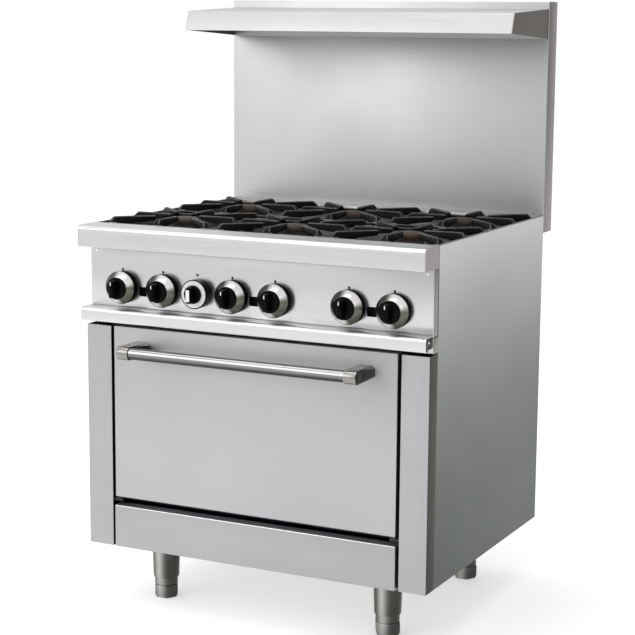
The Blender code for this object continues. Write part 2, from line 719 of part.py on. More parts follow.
BURNER_KNOB = [(0, 0.038), (0.0262, 0.038), (0.0262, 0.0335), (0.0405, 0.019), (0.0380, 0.0185),
               (0.0370, 0.0008), (0.0045, 0.0008), (0.0045, 0.020), (0, 0.020)]
OVEN_KNOB = [(0, 0.032), (0.022, 0.032), (0.022, 0.0240), (0.0342, 0.0240), (0.0352, 0.0230),
             (0.0352, 0.0008), (0.0045, 0.0008), (0.0045, 0.018), (0, 0.018)]


# ---------------------------------------------------------------- legs

def leg(name, x, y):
    """Leg sleeve with its mounting plate, bored from below for the foot."""
    top = BODY_BOTTOM - GAP
    profile = [(0, top), (0.0345, top), (0.0345, 0.100), (0.0328, SLEEVE_END + 0.003),
               (0.0318, SLEEVE_END), (0.0302, SLEEVE_END), (0.0302, 0.114), (0, 0.114)]
    sleeve = turned(name, profile, 28)
    sleeve.location = (x, y, 0)
    plate = box(name + "_plate", (x - 0.048, x + 0.048), (y - 0.048, y + 0.048), (top - 0.003, top), TOOLS)
    bpy.context.view_layer.update()
    return paint(weld(sleeve, plate), "polished_steel")


def foot(name, x, y):
    """Screw foot: a round neck inside the sleeve, over a six-sided base that narrows to the floor."""
    profile = [(0, 0.104), (0.027, 0.104), (0.0294, 0.100), (0.0294, 0.030), (0, 0.030)]
    neck = turned(name, profile, 24)
    neck.location = (x, y, 0)
    base = rod(name + "_base", (x, y, 0.0075), (x, y, 0.036), 0.0328, sides=6)
    toe = rod(name + "_toe", (x, y, 0), (x, y, 0.008), 0.0275, 0.0328, sides=6)
    bpy.context.view_layer.update()
    return paint(weld(neck, base, toe), "polished_steel")


# ---------------------------------------------------------------- assembly

def build_range():
    for label, side in (("left", -1), ("right", 1)):
        side_panel(f"side_panel_{label}", side)
        stile(f"stile_{label}", side)
    for piece in (base_frame, back_panel, kick_plate, front_rail, cooktop_frame, crumb_tray, backguard,
                  shelf, oven_liner, oven_deck, oven_rack, oven_burner, oven_gas_line, door, gas_manifold,
                  thermostat):
        piece()

    burner_knob_xs = [x + offset for x in COLUMNS for offset in (-VALVE_OFFSET, VALVE_OFFSET)]
    control_panel(burner_knob_xs + [THERMOSTAT_X])
    knob("thermostat_knob", THERMOSTAT_X, OVEN_KNOB, (0.006, 0.0195, 0.024, 0.052))

    mesh = grate_mesh()
    for i, valve_x in enumerate(burner_knob_xs):
        column, row = divmod(i, 2)
        centre = (COLUMNS[column], ROWS[row])
        place = ("front", "rear")[row] + "_" + ("left", "middle", "right")[column]
        grate("grate_" + place, mesh, centre)
        burner("burner_" + place, centre, valve_x)
        gas_valve("gas_valve_" + place, valve_x)
        knob("knob_" + place, valve_x, BURNER_KNOB, (0.007, 0.0225, 0.035, 0.061))

    for x, across in ((-LEG_X, "left"), (LEG_X, "right")):
        for y, along in zip(LEG_YS, ("front", "rear")):
            leg(f"leg_{along}_{across}", x, y)
            foot(f"foot_{along}_{across}", x, y)


def centre_on_origin():
    """Move everything that has no parent, so that the box's middle is over the origin."""
    for item in bpy.data.objects:
        if item.parent is None:
            item.location.y -= CENTRE_Y
    bpy.context.view_layer.update()


build_range()
centre_on_origin()
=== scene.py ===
"""Look of the commercial gas range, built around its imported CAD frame."""

import json
import math

import bmesh
import bpy
from mathutils import Matrix, Vector


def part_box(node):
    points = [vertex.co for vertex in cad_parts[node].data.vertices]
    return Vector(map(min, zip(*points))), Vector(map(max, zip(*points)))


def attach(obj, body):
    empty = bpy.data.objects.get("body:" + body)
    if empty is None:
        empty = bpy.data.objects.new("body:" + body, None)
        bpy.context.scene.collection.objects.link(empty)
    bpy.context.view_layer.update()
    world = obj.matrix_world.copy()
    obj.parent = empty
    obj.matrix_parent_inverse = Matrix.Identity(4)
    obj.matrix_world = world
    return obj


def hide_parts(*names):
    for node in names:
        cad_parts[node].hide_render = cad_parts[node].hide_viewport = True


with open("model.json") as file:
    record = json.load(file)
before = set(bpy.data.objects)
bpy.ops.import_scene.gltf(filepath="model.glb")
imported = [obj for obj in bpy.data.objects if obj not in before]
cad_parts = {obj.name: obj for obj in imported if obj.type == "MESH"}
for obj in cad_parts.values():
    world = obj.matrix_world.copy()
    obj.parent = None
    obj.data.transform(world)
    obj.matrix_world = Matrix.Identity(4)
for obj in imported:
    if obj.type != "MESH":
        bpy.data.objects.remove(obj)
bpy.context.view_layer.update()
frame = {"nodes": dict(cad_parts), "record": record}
NODES = frame["nodes"]
BODIES = frame["record"]["behaviour"]["bodies"]
NODE_BODY = {node: body for body, nodes in BODIES.items() for node in nodes}

SHEET = 0.0015                # thickness of the bent sheets, m
GAP = 0.0001                  # keeps touching shells apart
CENTRE_Y = 0.3545             # depth of the world origin behind the face of the corner posts
COLUMNS = (-0.3048, 0.0, 0.3048)
ROWS = (0.2175, 0.5485)       # depths of the two burner rows
VALVE_OFFSET = 0.05715        # from a column's middle to its two valves
KNOB_XS = [x + offset for x in COLUMNS for offset in (-VALVE_OFFSET, VALVE_OFFSET)]
KNOB_Z = 0.8045
THERMOSTAT_X = -0.1524
PLACES = [f"{row}_{column}" for row in ("front", "rear") for column in ("left", "middle", "right")]
SIDES = (("left", -1), ("right", 1))
CORNERS = ((1, 1), (-1, 1), (-1, -1), (1, -1))
AXIS_TURNS = {"Z": Matrix.Identity(4),
              "X": Matrix.Rotation(math.pi / 2, 4, "Y"), "-X": Matrix.Rotation(-math.pi / 2, 4, "Y"),
              "Y": Matrix.Rotation(-math.pi / 2, 4, "X"), "-Y": Matrix.Rotation(math.pi / 2, 4, "X")}
OUTLINE_TURNS = {"X": Matrix(((0, 0, 1, 0), (1, 0, 0, 0), (0, 1, 0, 0), (0, 0, 0, 1))),
                 "Y": Matrix(((1, 0, 0, 0), (0, 0, -1, 0), (0, 1, 0, 0), (0, 0, 0, 1))),
                 "Z": Matrix.Identity(4)}


def at(depth):
    """World y of a depth behind the face of the corner posts."""
    return depth - CENTRE_Y


# ---------------------------------------------------------------- materials

class Nodes:
    """A small builder for the node tree of a material or world."""

    def __init__(self, owner, shader="Principled BSDF"):
        owner.use_nodes = True
        self.owner, self.tree = owner, owner.node_tree
        self.shader = self.tree.nodes[shader]
        self.coord = self.node("TexCoord").outputs["Object"]

    def node(self, kind):
        return self.tree.nodes.new("ShaderNode" + kind)

    def set(self, **values):
        for key, value in values.items():
            self.shader.inputs[key.replace("_", " ").title().replace("Ior", "IOR")].default_value = value

    def link(self, source, target):
        """Link an output to a socket, or to the shader's input of that name."""
        self.tree.links.new(source, self.shader.inputs[target] if isinstance(target, str) else target)

    def feed(self, socket, value):
        """Give a socket a fixed value or another node's output."""
        if isinstance(value, bpy.types.NodeSocket):
            self.link(value, socket)
        else:
            socket.default_value = (*value, 1.0) if socket.type == "RGBA" else value

    def noise(self, scale, detail=3.0, roughness=0.55, stretch=(1, 1, 1)):
        mapping, node = self.node("Mapping"), self.node("TexNoise")
        mapping.inputs["Scale"].default_value = stretch
        self.link(self.coord, mapping.inputs["Vector"])
        for key, value in (("Scale", scale), ("Detail", detail), ("Roughness", roughness)):
            node.inputs[key].default_value = value
        self.link(mapping.outputs["Vector"], node.inputs["Vector"])
        return node.outputs["Fac"]

    def cells(self, scale):
        node = self.node("TexVoronoi")
        node.inputs["Scale"].default_value = scale
        self.link(self.coord, node.inputs["Vector"])
        return node.outputs["Color"]

    def span(self, source, low, high, start=0.3, end=0.7):
        """Map a value from start..end, the usual range of a noise, to low..high."""
        node = self.node("MapRange")
        for key, value in (("From Min", start), ("From Max", end), ("To Min", low), ("To Max", high)):
            node.inputs[key].default_value = value
        self.link(source, node.inputs["Value"])
        return node.outputs["Result"]

    def math(self, operation, first, second):
        node = self.node("Math")
        node.operation = operation
        self.feed(node.inputs[0], first)
        self.feed(node.inputs[1], second)
        return node.outputs["Value"]

    def vector(self, operation, first, second=None):
        node = self.node("VectorMath")
        node.operation = operation
        self.link(first, node.inputs[0])
        if second is not None:
            self.feed(node.inputs[1], second)
        return node.outputs["Value" if operation == "DOT_PRODUCT" else "Vector"]

    def part(self, vector, axis):
        node = self.node("SeparateXYZ")
        self.link(vector, node.inputs[0])
        return node.outputs[axis]

    def blend(self, factor, first, second):
        """Mix two colours, each a tuple or an output."""
        node = self.node("Mix")
        node.data_type = "RGBA"
        for index, value in ((0, factor), (6, first), (7, second)):
            self.feed(node.inputs[index], value)
        return node.outputs[2]

    def vary(self, source, colour, darkest, lightest):
        """The colour, made darker or lighter by a noise."""
        return self.blend(self.span(source, 0, 1), shade(colour, darkest), shade(colour, lightest))

    def sideways(self):
        """1 on faces that look left or right, 0 on the others: the mask that places painted shade by face
        direction.
        """
        across = self.part(self.node("NewGeometry").outputs["True Normal"], "X")
        return self.span(self.math("ABSOLUTE", across, 0), 0, 1, 0.6, 0.9)

    def lobe(self, toward, sharpness, both=True):
        """1 where the surface, seen from the piece's middle, lies towards a direction or opposite it: the
        mask for painted reflections.
        """
        place = self.vector("SUBTRACT", self.node("TexCoord").outputs["Generated"], (0.5, 0.5, 0.5))
        flat = self.vector("MULTIPLY", place, [float(t != 0) for t in toward])
        facing = self.vector("DOT_PRODUCT", self.vector("NORMALIZE", flat), Vector(toward).normalized())
        return self.math("POWER", self.math("ABSOLUTE" if both else "MAXIMUM", facing, 0), sharpness)

    def top_edges(self, radius):
        """1 along edges of faces that look up: the mask for worn edges and painted highlights."""
        soft = self.node("Bevel")
        soft.samples = 6
        soft.inputs["Radius"].default_value = radius
        flat = self.node("NewGeometry").outputs["True Normal"]
        edge = self.span(self.vector("DOT_PRODUCT", soft.outputs["Normal"], flat), 1, 0, 0.90, 0.99)
        rise = self.span(self.part(soft.outputs["Normal"], "Z"), 0, 1, 0.35, 0.55)
        return self.math("MULTIPLY", edge, rise)

    def height(self, low, high):
        """0 at height low, 1 at height high."""
        return self.span(self.part(self.coord, "Z"), 0, 1, low, high)

    def bump(self, height, strength, distance):
        node = self.node("Bump")
        node.inputs["Strength"].default_value = strength
        node.inputs["Distance"].default_value = distance
        self.link(height, node.inputs["Height"])
        self.link(node.outputs["Normal"], "Normal")


def shade(colour, factor):
    return tuple(min(1.0, channel * factor) for channel in colour)


def brushed(grain, colour, roughness, side=None, low=None, relief=0.06, streak=0.06, smudge=0.10,
            front=None, top=None):
    """Rolled or brushed sheet: fine lines along the grain axis, over soft uneven patches.

    The faces that look left or right can take a painted shade (side), the others can take one instead
    (front), and painted shade can darken the foot of the sheet (low). A painted highlight can lighten a
    band near the top (top: colour, heights of the change).
    """
    m = Nodes(bpy.data.materials.new("look"))
    m.set(metallic=1.0)
    stretch = tuple(1.0 if axis == grain else 60.0 for axis in "XYZ")
    lines = m.noise(9.0, 4.0, 0.65, stretch)
    patches = m.noise(3.1, 3.0, 0.5)
    tone = m.vary(lines, colour, 1 - streak, 1 + streak)
    dull = m.blend(m.span(patches, 0, smudge), tone, shade(colour, 0.8))
    # painted shade: the faces that look left or right take a darker copy of the colour (side)
    if side:
        dull = m.blend(m.sideways(), dull, m.vary(lines, side, 0.9, 1.1))
    # painted shade: the colour darkens towards the foot of the sheet (low)
    if low:
        rise = m.math("POWER", m.height(0.20, 1.0), 2.5)
        dull = m.blend(rise, m.vary(lines, low, 0.9, 1.1), dull)
    # painted shade: the faces that do not look left or right take a darker colour instead (front)
    if front:
        dull = m.blend(m.sideways(), front, dull)
    # painted highlight: a lighter band between two heights (top)
    if top:
        painted_highlight_colour, start, end = top
        dull = m.blend(m.height(start, end), dull, m.vary(lines, painted_highlight_colour, 0.95, 1.05))
    m.link(dull, "Base Color")
    spread = min(0.05, relief)
    rough = m.span(lines, roughness - spread, roughness + spread)
    rough = m.math("ADD", rough, m.span(patches, -0.03, 0.05))
    m.link(rough, "Roughness")
    m.bump(lines, relief, 0.0004)
    return m.owner


def polished(grain, colour, roughness, side=None, painted_reflection=None):
    """Bright turned or drawn steel with faint lines.

    The faces that look left or right can take a painted shade (side). A painted reflection
    (direction, sharpness, dark colour) leaves the full colour towards one direction only and the dark
    colour elsewhere.
    """
    m = Nodes(bpy.data.materials.new("look"))
    m.set(metallic=1.0)
    stretch = tuple(1.0 if axis == grain else 80.0 for axis in "XYZ")
    lines = m.noise(12.0, 3.0, 0.6, stretch)
    haze = m.noise(25.0)
    tone = m.vary(haze, colour, 0.92, 1.04)
    # painted reflection: the full colour towards one direction, the dark colour elsewhere
    if painted_reflection:
        toward, sharpness, dull = painted_reflection
        tone = m.blend(m.lobe(toward, sharpness), m.vary(haze, dull, 1.0, 1.2), tone)
    # painted shade on the faces that look left or right (side)
    if side:
        tone = m.blend(m.sideways(), tone, m.vary(haze, side, 1.0, 1.25))
    m.link(tone, "Base Color")
    rough = m.math("ADD", m.span(lines, roughness - 0.04, roughness + 0.05), m.span(haze, -0.02, 0.04))
    m.link(rough, "Roughness")
    m.bump(lines, 0.05, 0.0003)
    return m.owner


def spun(colour, roughness, dull):
    """Metal spun about an axis along y, with painted reflection sectors: a bright, a dull and a dark one.
    """
    m = Nodes(bpy.data.materials.new("look"))
    m.set(metallic=0.45, anisotropic=0.8, anisotropic_rotation=0.25)
    haze = m.noise(60.0)
    tone = m.vary(haze, colour, 0.93, 1.05)
    # painted reflections: a bright sector up and to the right, a near-black sector to the left
    painted_highlight_sector = m.span(m.lobe((0.55, 0.0, 0.83), 3.0), 0, 1, 0.22, 0.66)
    painted_dark_sector = m.lobe((-0.98, 0.0, 0.2), 2.0, False)
    m.link(m.blend(painted_dark_sector, m.blend(painted_highlight_sector, dull, tone), shade(dull, 0.07)), "Base Color")
    m.link(m.span(haze, roughness - 0.03, roughness + 0.04), "Roughness")
    tangent = m.node("Tangent")
    tangent.direction_type = "RADIAL"
    tangent.axis = "Y"
    m.link(tangent.outputs["Tangent"], "Tangent")
    m.bump(m.noise(900.0, 2.0, 0.5), 0.03, 0.0001)
    return m.owner


def cast(colour, roughness, rust=0.15, metallic=0.0, shine=0.5, worn_and_highlight=None, relief=0.35):
    """Sand-cast iron: fine grain, pits and uneven darkening. Top edges can be lighter: partly wear,
    partly a painted highlight where they catch the light.
    """
    m = Nodes(bpy.data.materials.new("look"))
    m.set(metallic=metallic, specular_ior_level=shine)
    grain = m.noise(420.0, 4.0, 0.7)
    pits = m.noise(110.0, 2.0, 0.5)
    wear = m.noise(14.0, 4.0, 0.6)
    tone = m.vary(grain, colour, 0.75, 1.35)
    tone = m.blend(m.span(wear, 0, rust), tone, (0.16, 0.10, 0.07))
    # lighter up-facing top edges: partly wear, partly painted highlight
    if worn_and_highlight:
        tone = m.blend(m.top_edges(0.0034), tone, m.vary(pits, worn_and_highlight, 0.7, 1.0))
    m.link(tone, "Base Color")
    m.link(m.span(grain, roughness - 0.10, roughness + 0.12), "Roughness")
    m.bump(m.math("ADD", grain, m.math("MULTIPLY", pits, 1.5)), relief, 0.0006)
    return m.owner


def plastic(colour, roughness, shine=0.5):
    """Moulded plastic with a fine grain and light scuffs."""
    m = Nodes(bpy.data.materials.new("look"))
    m.set(specular_ior_level=shine)
    grain = m.noise(900.0, 2.0, 0.5)
    scuff = m.noise(60.0, 5.0, 0.7)
    m.link(m.blend(m.span(scuff, 0, 0.5, 0.5, 0.8), colour, shade(colour, 1.8)), "Base Color")
    rough = m.span(grain, roughness - 0.03, roughness + 0.04)
    rough = m.math("ADD", rough, m.span(scuff, 0, 0.1, 0.5, 0.8))
    m.link(rough, "Roughness")
    m.bump(grain, 0.08, 0.0002)
    return m.owner


def coated(colour, roughness, speck=0.12):
    """Aluminised sheet with a crystal spangle and dull patches."""
    m = Nodes(bpy.data.materials.new("look"))
    m.set(metallic=1.0)
    spangle = m.span(m.cells(55.0), 0, 1, 0, 1)
    dirt = m.noise(6.0, 4.0, 0.6)
    tone = m.blend(spangle, shade(colour, 1 - speck), shade(colour, 1 + speck))
    m.link(m.blend(m.span(dirt, 0, 0.35), tone, shade(colour, 0.6)), "Base Color")
    rough = m.math("ADD", m.span(spangle, roughness - 0.06, roughness + 0.06, 0, 1), m.span(dirt, 0, 0.1))
    m.link(rough, "Roughness")
    m.bump(dirt, 0.05, 0.001)
    return m.owner


def enamel(colour, fleck):
    """Glassy enamel with fine pale flecks and a slight orange peel."""
    m = Nodes(bpy.data.materials.new("look"))
    flecks = m.noise(700.0, 1.0, 0.5)
    waves = m.noise(90.0, 2.0, 0.5)
    m.link(m.blend(m.span(flecks, 0, 1, 0.66, 0.72), colour, fleck), "Base Color")
    m.link(m.span(waves, 0.10, 0.24), "Roughness")
    m.bump(waves, 0.10, 0.0005)
    return m.owner


MATERIALS = {
    # The brushed copies below are one stainless steel; their base colours differ as painted light and
    # shade.
    "front_steel": brushed("X", (0.54, 0.54, 0.54), 0.34),
    # painted shade: the side colours below darken the faces that look left or right
    "panel_steel": brushed("X", (0.57, 0.57, 0.58), 0.24, side=(0.235, 0.212, 0.214),
                           relief=0.004, streak=0.015),
    "ledge_steel": brushed("X", (0.62, 0.62, 0.615), 0.34),
    "door_steel": brushed("X", (0.435, 0.44, 0.445), 0.38, relief=0.04, streak=0.04),
    "rail_steel": brushed("X", (0.54, 0.54, 0.54), 0.34, side=(0.285, 0.255, 0.256)),
    # painted highlight: a light band along the rounded top edge of the kick plate
    "kick_steel": brushed("X", (0.40, 0.405, 0.415), 0.38, relief=0.04, streak=0.04,
                          top=((0.905, 0.905, 0.905), 0.2570, 0.2586)),
    # painted shade on the side panels: darker towards the floor (low) and on faces that look forward or
    # up (front)
    "side_steel": brushed("Z", (0.74, 0.75, 0.76), 0.42, low=(0.098, 0.110, 0.103),
                          front=(0.25, 0.225, 0.225)),
    "post_steel": brushed("Z", (0.40, 0.405, 0.415), 0.38, side=(0.036, 0.036, 0.029)),
    "guard_steel": brushed("X", (0.50, 0.505, 0.51), 0.40, side=(0.272, 0.248, 0.246)),
    "shelf_steel": brushed("X", (0.43, 0.43, 0.43), 0.34, side=(0.090, 0.079, 0.066)),
    "tab_steel": brushed("Z", (0.24, 0.225, 0.20), 0.36),
    "deck_steel": brushed("X", (0.46, 0.46, 0.46), 0.36),
    # The polished steel copies are one steel; their base colours differ as painted light and shade.
    "polished_steel": polished("X", (0.64, 0.64, 0.63), 0.20),
    # painted reflections: the handle, legs and feet keep their full colour towards one direction only
    "handle_steel": polished("X", (0.40, 0.39, 0.39), 0.11,
                             painted_reflection=((0.0, -0.82, 0.57), 3.0, (0.03, 0.028, 0.028))),
    # painted shade on the brackets' faces that look left or right
    "bracket_steel": polished("X", (0.29, 0.28, 0.265), 0.22, side=(0.040, 0.034, 0.026)),
    "leg_steel": polished("Z", (0.42, 0.42, 0.405), 0.18,
                          painted_reflection=((-0.06, -1.0, 0.0), 16.0, (0.050, 0.052, 0.046))),
    "foot_steel": polished("Z", (0.40, 0.40, 0.385), 0.20,
                           painted_reflection=((-0.06, -1.0, 0.0), 12.0, (0.055, 0.057, 0.052))),
    "chrome": polished("Y", (0.78, 0.765, 0.75), 0.10),
    "brass": polished("Y", (0.70, 0.50, 0.22), 0.28),
    "wire": polished("Y", (0.72, 0.72, 0.72), 0.16),
    # painted reflection sectors on the knob bezels
    "bezel_chrome": spun((1.0, 0.95, 0.945), 0.20, (0.125, 0.125, 0.10)),
    # painted shade: near-black sheet for the door hinges in the gap under the door and the plugs in the
    # tray lip
    "shaded_dark_steel": coated((0.05, 0.05, 0.05), 0.45),
    "coated_steel": coated((0.50, 0.50, 0.49), 0.42),
    "grate_iron": cast((0.004, 0.0042, 0.0044), 0.45, rust=0.02, shine=0.06,
                       worn_and_highlight=(0.42, 0.42, 0.41), relief=0.12),
    "burner_iron": cast((0.046, 0.038, 0.034), 0.60, rust=0.3, shine=0.15),
    "black_pipe": cast((0.03, 0.03, 0.032), 0.42, rust=0.2, metallic=0.5),
    "enamel": enamel((0.035, 0.045, 0.075), (0.35, 0.38, 0.42)),
    "black_plastic": plastic((0.0030, 0.0027, 0.0027), 0.22, shine=0.05),
    "black_print": plastic((0.003, 0.003, 0.003), 0.50, shine=0.1),
    "white_print": plastic((0.78, 0.78, 0.77), 0.40),
    "grey_print": plastic((0.10, 0.10, 0.10), 0.45),
}
for name, material in MATERIALS.items():
    material.name = name


# ---------------------------------------------------------------- mesh helpers

def piece(name, bm, material, body=None, node=None, angle=32):
    """Link a bmesh as a visible piece. A piece that stands for a CAD node takes its body and hides the
    node.
    """
    mesh = bpy.data.meshes.new(name)
    bm.to_mesh(mesh)
    bm.free()
    mesh.shade_smooth()
    mesh.set_sharp_from_angle(angle=math.radians(angle))
    item = bpy.data.objects.new(name, mesh)
    bpy.context.scene.collection.objects.link(item)
    mesh.materials.append(MATERIALS[material])
    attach(item, body or NODE_BODY[node])
    if node:
        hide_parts(node)


def join(target, *others):
    """Add other bmeshes to target as further closed shells."""
    for other in others:
        mesh = bpy.data.meshes.new("shell")
        other.to_mesh(mesh)
        other.free()
        target.from_mesh(mesh)
        bpy.data.meshes.remove(mesh)
    return target


def placed(bm, matrix):
    bmesh.ops.transform(bm, matrix=matrix, verts=bm.verts)
    return bm


def moved(bm, place):
    return placed(bm, Matrix.Translation(place))


def rounded(bm, width, segments=2, angle=30):
    """Round every edge sharper than the angle."""
    limit = math.radians(angle)
    edges = [e for e in bm.edges if len(e.link_faces) == 2 and e.calc_face_angle() > limit]
    bmesh.ops.bevel(bm, geom=edges, offset=width, segments=segments, affect="EDGES", profile=0.5,
                    clamp_overlap=True)
    return bm


def faces_at(bm, axis, limit):
    """The faces that lie in the plane where the axis has the value limit."""
    return [f for f in bm.faces if all(abs(v.co[axis] - limit) < 1e-6 for v in f.verts)]


def block(x, y, z, radius=0.0004, segments=2):
    """A block with rounded edges between limits (low, high)."""
    bm = bmesh.new()
    bmesh.ops.create_cube(bm, size=1.0)
    size = Vector((x[1] - x[0], y[1] - y[0], z[1] - z[0]))
    centre = Vector((x[1] + x[0], y[1] + y[0], z[1] + z[0])) / 2
    placed(bm, Matrix.Translation(centre) @ Matrix.Diagonal((*size, 1.0)))
    return rounded(bm, radius, segments) if radius else bm


def slab(points, axis, span, radius=0.0003):
    """A closed outline extruded along a world axis over (low, high), with eased edges.

    Along X the points are (y, z), along Y they are (x, z) and along Z they are (x, y).
    """
    low, high = span
    if axis == "Y":
        low, high = -high, -low
    bm = bmesh.new()
    bottom = bm.faces.new([bm.verts.new((a, b, low)) for a, b in points])
    top = bmesh.ops.extrude_face_region(bm, geom=[bottom])
    lid = [v for v in top["geom"] if isinstance(v, bmesh.types.BMVert)]
    bmesh.ops.translate(bm, vec=(0, 0, high - low), verts=lid)
    placed(bm, OUTLINE_TURNS[axis])
    bmesh.ops.recalc_face_normals(bm, faces=bm.faces)
    return rounded(bm, radius, 1, 60) if radius else bm


def filleted(path, radius, steps=4):
    """A path, flat or not, with its inner corners rounded by one radius or by one for each."""
    path = [Vector(p) for p in path]
    radii = radius if isinstance(radius, list) else [radius] * (len(path) - 2)
    out = [path[0]]
    for before, here, after, r in zip(path, path[1:], path[2:], radii):
        back, on = (before - here).normalized(), (after - here).normalized()
        half = back.angle(on) / 2
        centre = here + (back + on).normalized() * (r / math.sin(half))
        first, last = (here + way * (r / math.tan(half)) - centre for way in (back, on))
        out += [centre + first.slerp(last, i / steps).normalized() * r for i in range(steps + 1)]
    return out + [path[-1]]


def thickened(path, thickness=SHEET):
    """The outline of a bent sheet whose outer side is the path; the metal lies on the path's left."""
    inner = []
    for i, here in enumerate(path):
        before = (here - path[i - 1]).normalized() if i else None
        after = (path[i + 1] - here).normalized() if i < len(path) - 1 else None
        before, after = before or after, after or before
        left = Vector((-before.y - after.y, before.x + after.x)).normalized()
        stretch = max(0.3, left.dot(Vector((-after.y, after.x))))
        inner.append(here + left * (thickness / stretch))
    return [tuple(p) for p in path + inner[::-1]]


def bent(path, axis, span, bend=0.0025, thickness=SHEET, steps=4):
    """A bent sheet along an axis. The bend radius is that of the outer side, the path itself."""
    return slab(thickened(filleted(path, bend, steps), thickness), axis, span)


def end_caps(outline, x, ease):
    """Plates that close both ends of a sheet bent along X."""
    spans = (x[0], x[0] + SHEET - GAP), (x[1] - SHEET + GAP, x[1])
    return [slab([tuple(p) for p in outline], "X", span, ease) for span in spans]


def mirrored(points, side):
    """Swap an outline to the other side, keeping the metal on its left."""
    return [(side * a, b) for a, b in points][::side]


def open_pan(x, y, z, open_side, radius=0.0025, thickness=SHEET):
    """A folded box of sheet with one open side and rounded outer edges."""
    bm = block(x, y, z, 0)
    axis, end = {"front": (1, 0), "back": (1, 1), "bottom": (2, 0), "top": (2, 1)}[open_side]
    bmesh.ops.delete(bm, geom=faces_at(bm, axis, (x, y, z)[axis][end]), context="FACES_ONLY")
    return solidified(rounded(bm, radius, 3), thickness)


def solidified(bm, thickness):
    """Give an open surface its thickness, inwards, through a modifier."""
    item = temporary(bm)
    modifier = item.modifiers.new("sheet", "SOLIDIFY")
    modifier.thickness = thickness
    modifier.offset = -1.0
    modifier.use_even_offset = True
    return evaluated(item)


def temporary(bm):
    mesh = bpy.data.meshes.new("temporary")
    bm.to_mesh(mesh)
    bm.free()
    item = bpy.data.objects.new("temporary", mesh)
    bpy.context.scene.collection.objects.link(item)
    return item


def evaluated(item, extras=()):
    """The bmesh of an object with its modifiers, which is then removed."""
    depsgraph = bpy.context.evaluated_depsgraph_get()
    bm = bmesh.new()
    bm.from_object(item, depsgraph)
    for used in (item, *extras):
        mesh = used.data
        bpy.data.objects.remove(used)
        bpy.data.meshes.remove(mesh)
    return bm


def boolean(bm, cutters):
    """Cut other bmeshes out of this one."""
    item = temporary(bm)
    tools = [temporary(cutter) for cutter in cutters]
    for tool in tools:
        modifier = item.modifiers.new("cut", "BOOLEAN")
        modifier.operation = "DIFFERENCE"
        modifier.solver = "EXACT"
        modifier.object = tool
    return evaluated(item, tools)


def turned(profile, axis="Z", place=(0, 0, 0), steps=48):
    """A solid turned from (radius, height) pairs, top to bottom, about a world axis through place."""
    bm = bmesh.new()
    rings = []
    for radius, height in profile:
        if radius < 1e-7:
            rings.append([bm.verts.new((0, 0, height))])
            continue
        ring = []
        for i in range(steps):
            a = 2 * math.pi * i / steps
            ring.append(bm.verts.new((radius * math.cos(a), radius * math.sin(a), height)))
        rings.append(ring)
    for upper, lower in zip(rings, rings[1:]):
        for i in range(steps):
            j = (i + 1) % steps
            corners = (upper[i % len(upper)], lower[i % len(lower)],
                       lower[j % len(lower)], upper[j % len(upper)])
            unique = list(dict.fromkeys(corners))
            if len(unique) > 2:
                bm.faces.new(unique)
    bmesh.ops.recalc_face_normals(bm, faces=bm.faces)
    return placed(bm, Matrix.Translation(place) @ AXIS_TURNS[axis])


def ring(profile, axis, place, steps):
    """A turned piece with a hole: the closed profile lists (radius, height)."""
    bm = bmesh.new()
    rings = []
    for radius, height in profile:
        angles = [2 * math.pi * i / steps for i in range(steps)]
        rings.append([bm.verts.new((radius * math.cos(a), radius * math.sin(a), height)) for a in angles])
    for one, two in zip(rings, rings[1:] + rings[:1]):
        for i in range(steps):
            j = (i + 1) % steps
            bm.faces.new((one[i], two[i], two[j], one[j]))
    bmesh.ops.recalc_face_normals(bm, faces=bm.faces)
    return placed(bm, Matrix.Translation(place) @ AXIS_TURNS[axis])


def softened(node, material, width=0.0006, segments=2, angle=40):
    """The CAD node's own shape with its edges rounded, as a new piece."""
    bm = bmesh.new()
    bm.from_mesh(NODES[node].data)
    bmesh.ops.remove_doubles(bm, verts=bm.verts, dist=0.000002)
    bmesh.ops.dissolve_limit(bm, angle_limit=math.radians(1.0), verts=bm.verts, edges=bm.edges)
    rounded(bm, width, segments, angle)
    piece(node + "_shape", bm, material, node=node)


def limits(node):
    """The node's box as three (low, high) pairs."""
    low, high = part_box(node)
    return [(low[i], high[i]) for i in range(3)]


def screw_head(name, place, body, axis="-Y", radius=0.0045, material="chrome"):
    """A pan-head screw with a cross recess, its head standing out along the axis."""
    head = turned([(0, radius * 0.5), (radius * 0.55, radius * 0.46), (radius * 0.9, radius * 0.25),
                   (radius, 0.0), (radius, -0.0006), (0, -0.0006)], steps=20)
    slot, depth = radius * 0.14, radius * 0.3
    recess = [block((-radius * 0.55, radius * 0.55), (-slot, slot), (depth, radius), 0),
              block((-slot, slot), (-radius * 0.55, radius * 0.55), (depth, radius), 0)]
    bm = placed(boolean(head, recess), Matrix.Translation(place) @ AXIS_TURNS[axis])
    piece(name, bm, material, body=body, angle=25)


# ---------------------------------------------------------------- body panels

def side_panels():
    for label, side in SIDES:
        node = f"side_panel_{label}"
        x, y, z = limits(node)
        edge = max(abs(x[0]), abs(x[1]))
        flange, front = 0.008, at(0.0452)
        path = mirrored([(edge, z[0]), (edge, z[1]), (edge - flange, z[1])], side)
        shell = bent(path, "Y", (front, y[1]), 0.0022)
        runner = block(sorted((side * 0.423, side * (edge - SHEET - GAP))), (at(0.110), at(0.700)),
                       (0.7097, 0.7117))
        tab = block(sorted((side * (edge - SHEET), side * (edge - GAP))), (y[0], front + 0.0004),
                    (0.712, 0.7497))
        piece(f"side_skin_{label}", join(shell, runner), "side_steel", node=node)
        piece(f"side_tab_{label}", tab, "tab_steel", body="body")


